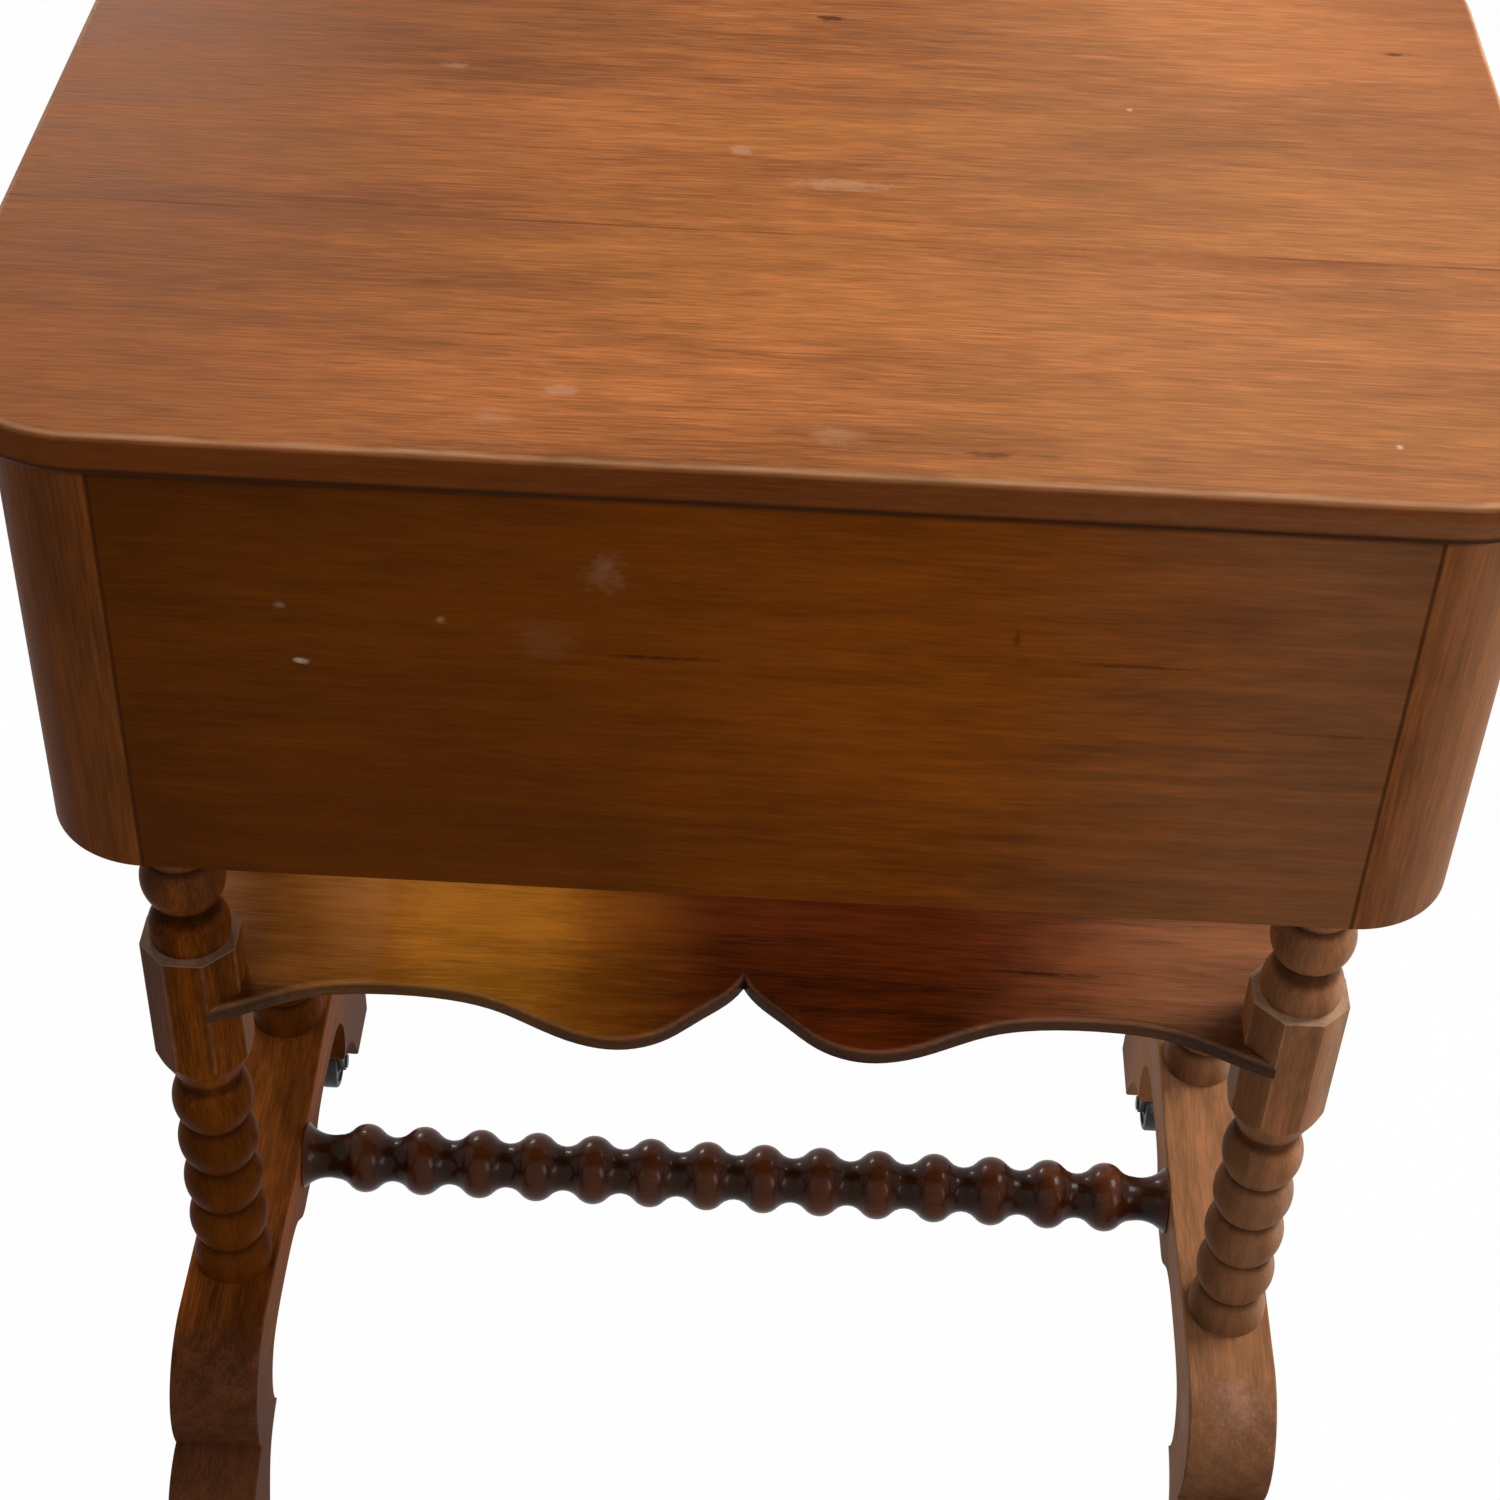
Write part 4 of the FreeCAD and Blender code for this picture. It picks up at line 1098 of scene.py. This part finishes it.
@dataclass
class Trestle:
    """The scrolled feet and the turned stretcher between them.

    Attributes:
        neck_radius: The stretcher's radius between its beads.
        bead_radius: The radius of its beads.
    """

    neck_radius: float = 0.0113
    bead_radius: float = 0.0176

    def build(self) -> None:
        """Dresses the feet and the stretcher."""
        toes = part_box("foot_right")
        middle_y = (toes[0].y + toes[1].y) / 2
        for number, side in enumerate(("left", "right")):
            marks = (
                # Painted light on the right foot
                Spread(RIGHT_SIDE_LIGHT, 0.6, axis=Axis.X, start=0.1, end=0.22, cloud=0.0),
                # Darker towards the bottom
                Spread(SOOT_AND_SHADE, 0.3 - 0.1 * number, axis=Axis.Z, start=0.146, end=0.126, cloud=0.012),
                # Painted shade on the toes
                Spread(TOE_SHADE, 0.65 - 0.1 * number, axis=Axis.Y, start=middle_y + 0.115 + 0.02 * number,
                       end=middle_y + 0.15 + 0.03 * number, both_sides=True, middle=middle_y, cloud=0.014),
            )
            if side == "right":
                # Painted sheen on the right toe
                marks += (Spot(TOE_SHEEN, 0.7, at=(0.2435, toes[0].y + 0.06, 0.135),
                               size=(0.03, 0.02, 0.03), ragged=0.4, soft=0.8),)
            wood = WoodFinish(
                stain=(0.205, 0.056, 0.008), grain=Grain.DEPTH, warm=(0.27, 0.085, 0.02), warmth=0.4,
                pith=0.2, spread=0.46, streak_length=0.02, roughness=0.5, specular=0.01,
                show_through=0.26, treatments=marks,
            )
            dress("foot_" + side, wood.build("foot_" + side + "_wood", PLANKS["foot"] + number))
        low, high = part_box("stretcher")
        centre = ((low.y + high.y) / 2, (low.z + high.z) / 2)
        where = {"axis": Axis.X, "centre": centre, "middle": centre}
        marks = (
            Turning(GRIME_AND_SHADE, 0.75, 0.05, low=self.neck_radius + GROOVE_DIRT, high=self.neck_radius, **where),
            # Real polish and a painted highlight on the bead crests
            Turning(CREST_WEAR_AND_HIGHLIGHT, 0.35, low=self.bead_radius - 0.0025, high=self.bead_radius, **where),
        )
        turning = WoodFinish(
            stain=(0.045, 0.01, 0.0015), grain=Grain.WIDTH, warm=(0.085, 0.022, 0.005), spread=0.45,
            pith=0.02, roughness=0.3, specular=0.07, coat=0.09, coat_roughness=0.1, treatments=marks,
        )
        dress("stretcher", turning.build("stretcher_wood", PLANKS["stretcher"]))


@dataclass
class Ironwork:
    """The casters and the screws.

    Attributes:
        horn_seed: Where the horns lie in the iron's pattern.
        wheel_seed: Where the wheels lie in it.
        screw_seed: Where the screws lie in it.
    """

    horn_seed: float = 1.0
    wheel_seed: float = 2.0
    screw_seed: float = 4.0

    def build(self) -> None:
        """Dresses the iron pieces."""
        horn = IronFinish(black=(0.018, 0.016, 0.014), bare=(0.11, 0.1, 0.09), rust=(0.075, 0.028, 0.012))
        wheel = IronFinish(black=(0.012, 0.011, 0.01), bare=(0.08, 0.075, 0.07), rust=(0.06, 0.024, 0.011),
                           rubbed=0.5, metallic=0.5)
        steel = IronFinish(black=(0.22, 0.2, 0.18), bare=(0.45, 0.42, 0.38), rust=(0.14, 0.06, 0.03),
                           rubbed=0.8, rusty=0.3, metallic=0.9, roughness=0.45)
        iron = horn.build("caster_iron", self.horn_seed)
        tread = wheel.build("caster_wheel_iron", self.wheel_seed)
        shank = steel.build("screw_steel", self.screw_seed)
        for name in sorted(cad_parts):
            if name.startswith("caster_wheel"):
                dress(name, tread)
            elif name.startswith(("caster_horn", "caster_axle", "caster_plates")):
                dress(name, iron)
            elif name.endswith("_screws"):
                dress(name, shank)


@dataclass
class Softbox:
    """A rectangular studio lamp.

    Attributes:
        name: The lamp's name.
        at: Where it hangs.
        aim: What it points at.
        size: Its width and height.
        power: Its power in watts.
        tint: Its colour.
    """

    name: str
    at: Point
    aim: Point
    size: Tuple[float, float]
    power: float
    tint: Colour = (1.0, 1.0, 1.0)

    def build(self) -> None:
        """Hangs the lamp."""
        bpy.ops.object.light_add(type="AREA", location=self.at)
        lamp = bpy.context.object
        lamp.name = self.name
        lamp.data.shape = "RECTANGLE"
        lamp.data.size, lamp.data.size_y = self.size
        lamp.data.energy = self.power
        lamp.data.color = self.tint
        way = Vector(self.aim) - Vector(self.at)
        lamp.rotation_mode = "QUATERNION"
        lamp.rotation_quaternion = way.to_track_quat("-Z", "Y")


@dataclass
class Studio:
    """The pale floor, the white surroundings, the lamps and the camera.

    Attributes:
        floor_size: The floor's width.
        floor_tone: How pale the floor is.
        floor_glow: How much of what the camera sees of the floor is plain white.
        floor_drop: How far the floor lies under the wheels, in metres.
        sky: How strongly the surroundings light the desk.
        camera_at: Where the camera stands.
        yaw: How far it is turned, in radians.
        pitch: How far it looks down.
        roll: How far it leans.
        focal_pixels: Its focal length in pixels of the photograph.
        frame_pixels: The width of the photograph in pixels.
        sensor: The width of the camera's sensor in millimetres.
        clip: How near and how far the camera sees, in metres.
    """

    floor_size: float = 14.0
    floor_tone: float = 0.5
    floor_glow: float = 0.985
    floor_drop: float = 0.0005
    sky: float = 0.3
    camera_at: Point = (0.005498, -0.950474, 1.267623)
    yaw: float = -0.008647
    pitch: float = 0.722526
    roll: float = 0.046327
    focal_pixels: float = 2808.88
    frame_pixels: float = 1500.0
    sensor: float = 36.0
    clip: Tuple[float, float] = (0.02, 60.0)
    softboxes: List[Softbox] = field(default_factory=lambda: [
        Softbox("softbox_key", (1.35, 0.45, 1.95), (0.0, 0.0, 0.6), (0.8, 0.8), 35.0, (1.0, 0.97, 0.93)),
        Softbox("softbox_right", (1.35, -0.85, 0.85), (0.2, 0.0, 0.45), (0.5, 0.8), 7.5, (1.0, 0.97, 0.94)),
        Softbox("softbox_left", (-1.6, -1.2, 1.3), (-0.1, 0.0, 0.5), (0.9, 0.9), 2.0, (0.97, 0.98, 1.0)),
        Softbox("softbox_back", (-0.6, 1.15, 0.85), (-0.09, -0.05, 0.357), (0.3, 0.16), 7.0,
                (1.0, 0.95, 0.86)),
    ])

    def seen(self, tree: bpy.types.NodeTree) -> Socket:
        """Returns 1 for what the camera, a reflection or clear glass looks at, and 0 for light on the desk.

        Args:
            tree: The node tree that asks.

        Returns:
            The answer.
        """
        path = tree.nodes.new("ShaderNodeLightPath")
        total = path.outputs["Is Camera Ray"]
        for name in ("Is Glossy Ray", "Is Transmission Ray"):
            adder = tree.nodes.new("ShaderNodeMath")
            adder.operation = "MAXIMUM"
            tree.links.new(total, adder.inputs[0])
            tree.links.new(path.outputs[name], adder.inputs[1])
            total = adder.outputs[0]
        return total

    def lay_floor(self) -> None:
        """Lays the floor."""
        bpy.ops.mesh.primitive_plane_add(size=self.floor_size, location=(0.0, 0.0, -self.floor_drop))
        floor = bpy.context.object
        floor.name = "studio_floor"
        bench = Bench("studio_floor_paint")
        paint = bench.add("ShaderNodeBsdfDiffuse", {"Color": (self.floor_tone,) * 3})
        white = bench.add("ShaderNodeEmission", {"Color": (1.0, 1.0, 1.0), "Strength": 1.0})
        share = bench.math("MULTIPLY", self.seen(bench.tree), self.floor_glow)
        surface = bench.add("ShaderNodeMixShader", {0: share, 1: paint.outputs[0], 2: white.outputs[0]})
        bench.add("ShaderNodeOutputMaterial", {"Surface": surface.outputs[0]})
        floor.data.materials.append(bench.material)
        LOG.info("floor laid")

    def light_world(self) -> None:
        """Makes the surroundings white to the eye and soft on the desk."""
        world = bpy.data.worlds.new("studio_surroundings")
        bpy.context.scene.world = world
        world.use_nodes = True
        tree = world.node_tree
        tree.nodes.clear()
        level = tree.nodes.new("ShaderNodeMapRange")
        tree.links.new(self.seen(tree), level.inputs["Value"])
        level.inputs["To Min"].default_value = self.sky
        level.inputs["To Max"].default_value = 1.0
        glow = tree.nodes.new("ShaderNodeBackground")
        glow.inputs["Color"].default_value = (1.0, 1.0, 1.0, 1.0)
        tree.links.new(level.outputs[0], glow.inputs["Strength"])
        output = tree.nodes.new("ShaderNodeOutputWorld")
        tree.links.new(glow.outputs[0], output.inputs["Surface"])
        LOG.info("surroundings lit")

    def place_camera(self) -> None:
        """Puts the camera where the photograph was taken from."""
        forward = Vector((math.sin(self.yaw) * math.cos(self.pitch),
                          math.cos(self.yaw) * math.cos(self.pitch),
                          -math.sin(self.pitch)))
        level = Vector((math.cos(self.yaw), -math.sin(self.yaw), 0.0))
        upright = level.cross(forward)
        right = math.cos(self.roll) * level + math.sin(self.roll) * upright
        up = math.cos(self.roll) * upright - math.sin(self.roll) * level
        bpy.ops.object.camera_add()
        camera = bpy.context.object
        camera.name = "photo_camera"
        turn = Matrix((right, up, -forward)).transposed().to_4x4()
        camera.matrix_world = Matrix.Translation(self.camera_at) @ turn
        camera.data.sensor_width = self.sensor
        camera.data.lens = self.focal_pixels / self.frame_pixels * self.sensor
        camera.data.clip_start, camera.data.clip_end = self.clip
        bpy.context.scene.camera = camera
        LOG.info("camera placed")

    def build(self) -> None:
        """Sets up the studio."""
        self.lay_floor()
        self.light_world()
        for softbox in self.softboxes:
            softbox.build()
        self.place_camera()
        bpy.context.scene.view_settings.view_transform = "Standard"


def main() -> None:
    """Builds the looks of the desk, piece by piece."""
    logging.basicConfig(level=logging.INFO, format="%(message)s")
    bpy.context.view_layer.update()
    bpy.ops.object.select_all(action="DESELECT")
    assemblies = (
        Studio(), DeskTop(), Case(), Drawer("lower", 71.0), Drawer("upper", 81.0), Legs(), Shelf(), Trestle(),
        Ironwork(),
    )
    for assembly in assemblies:
        assembly.build()
        LOG.info("%s done", type(assembly).__name__)


if __name__ == "__main__":
    main()
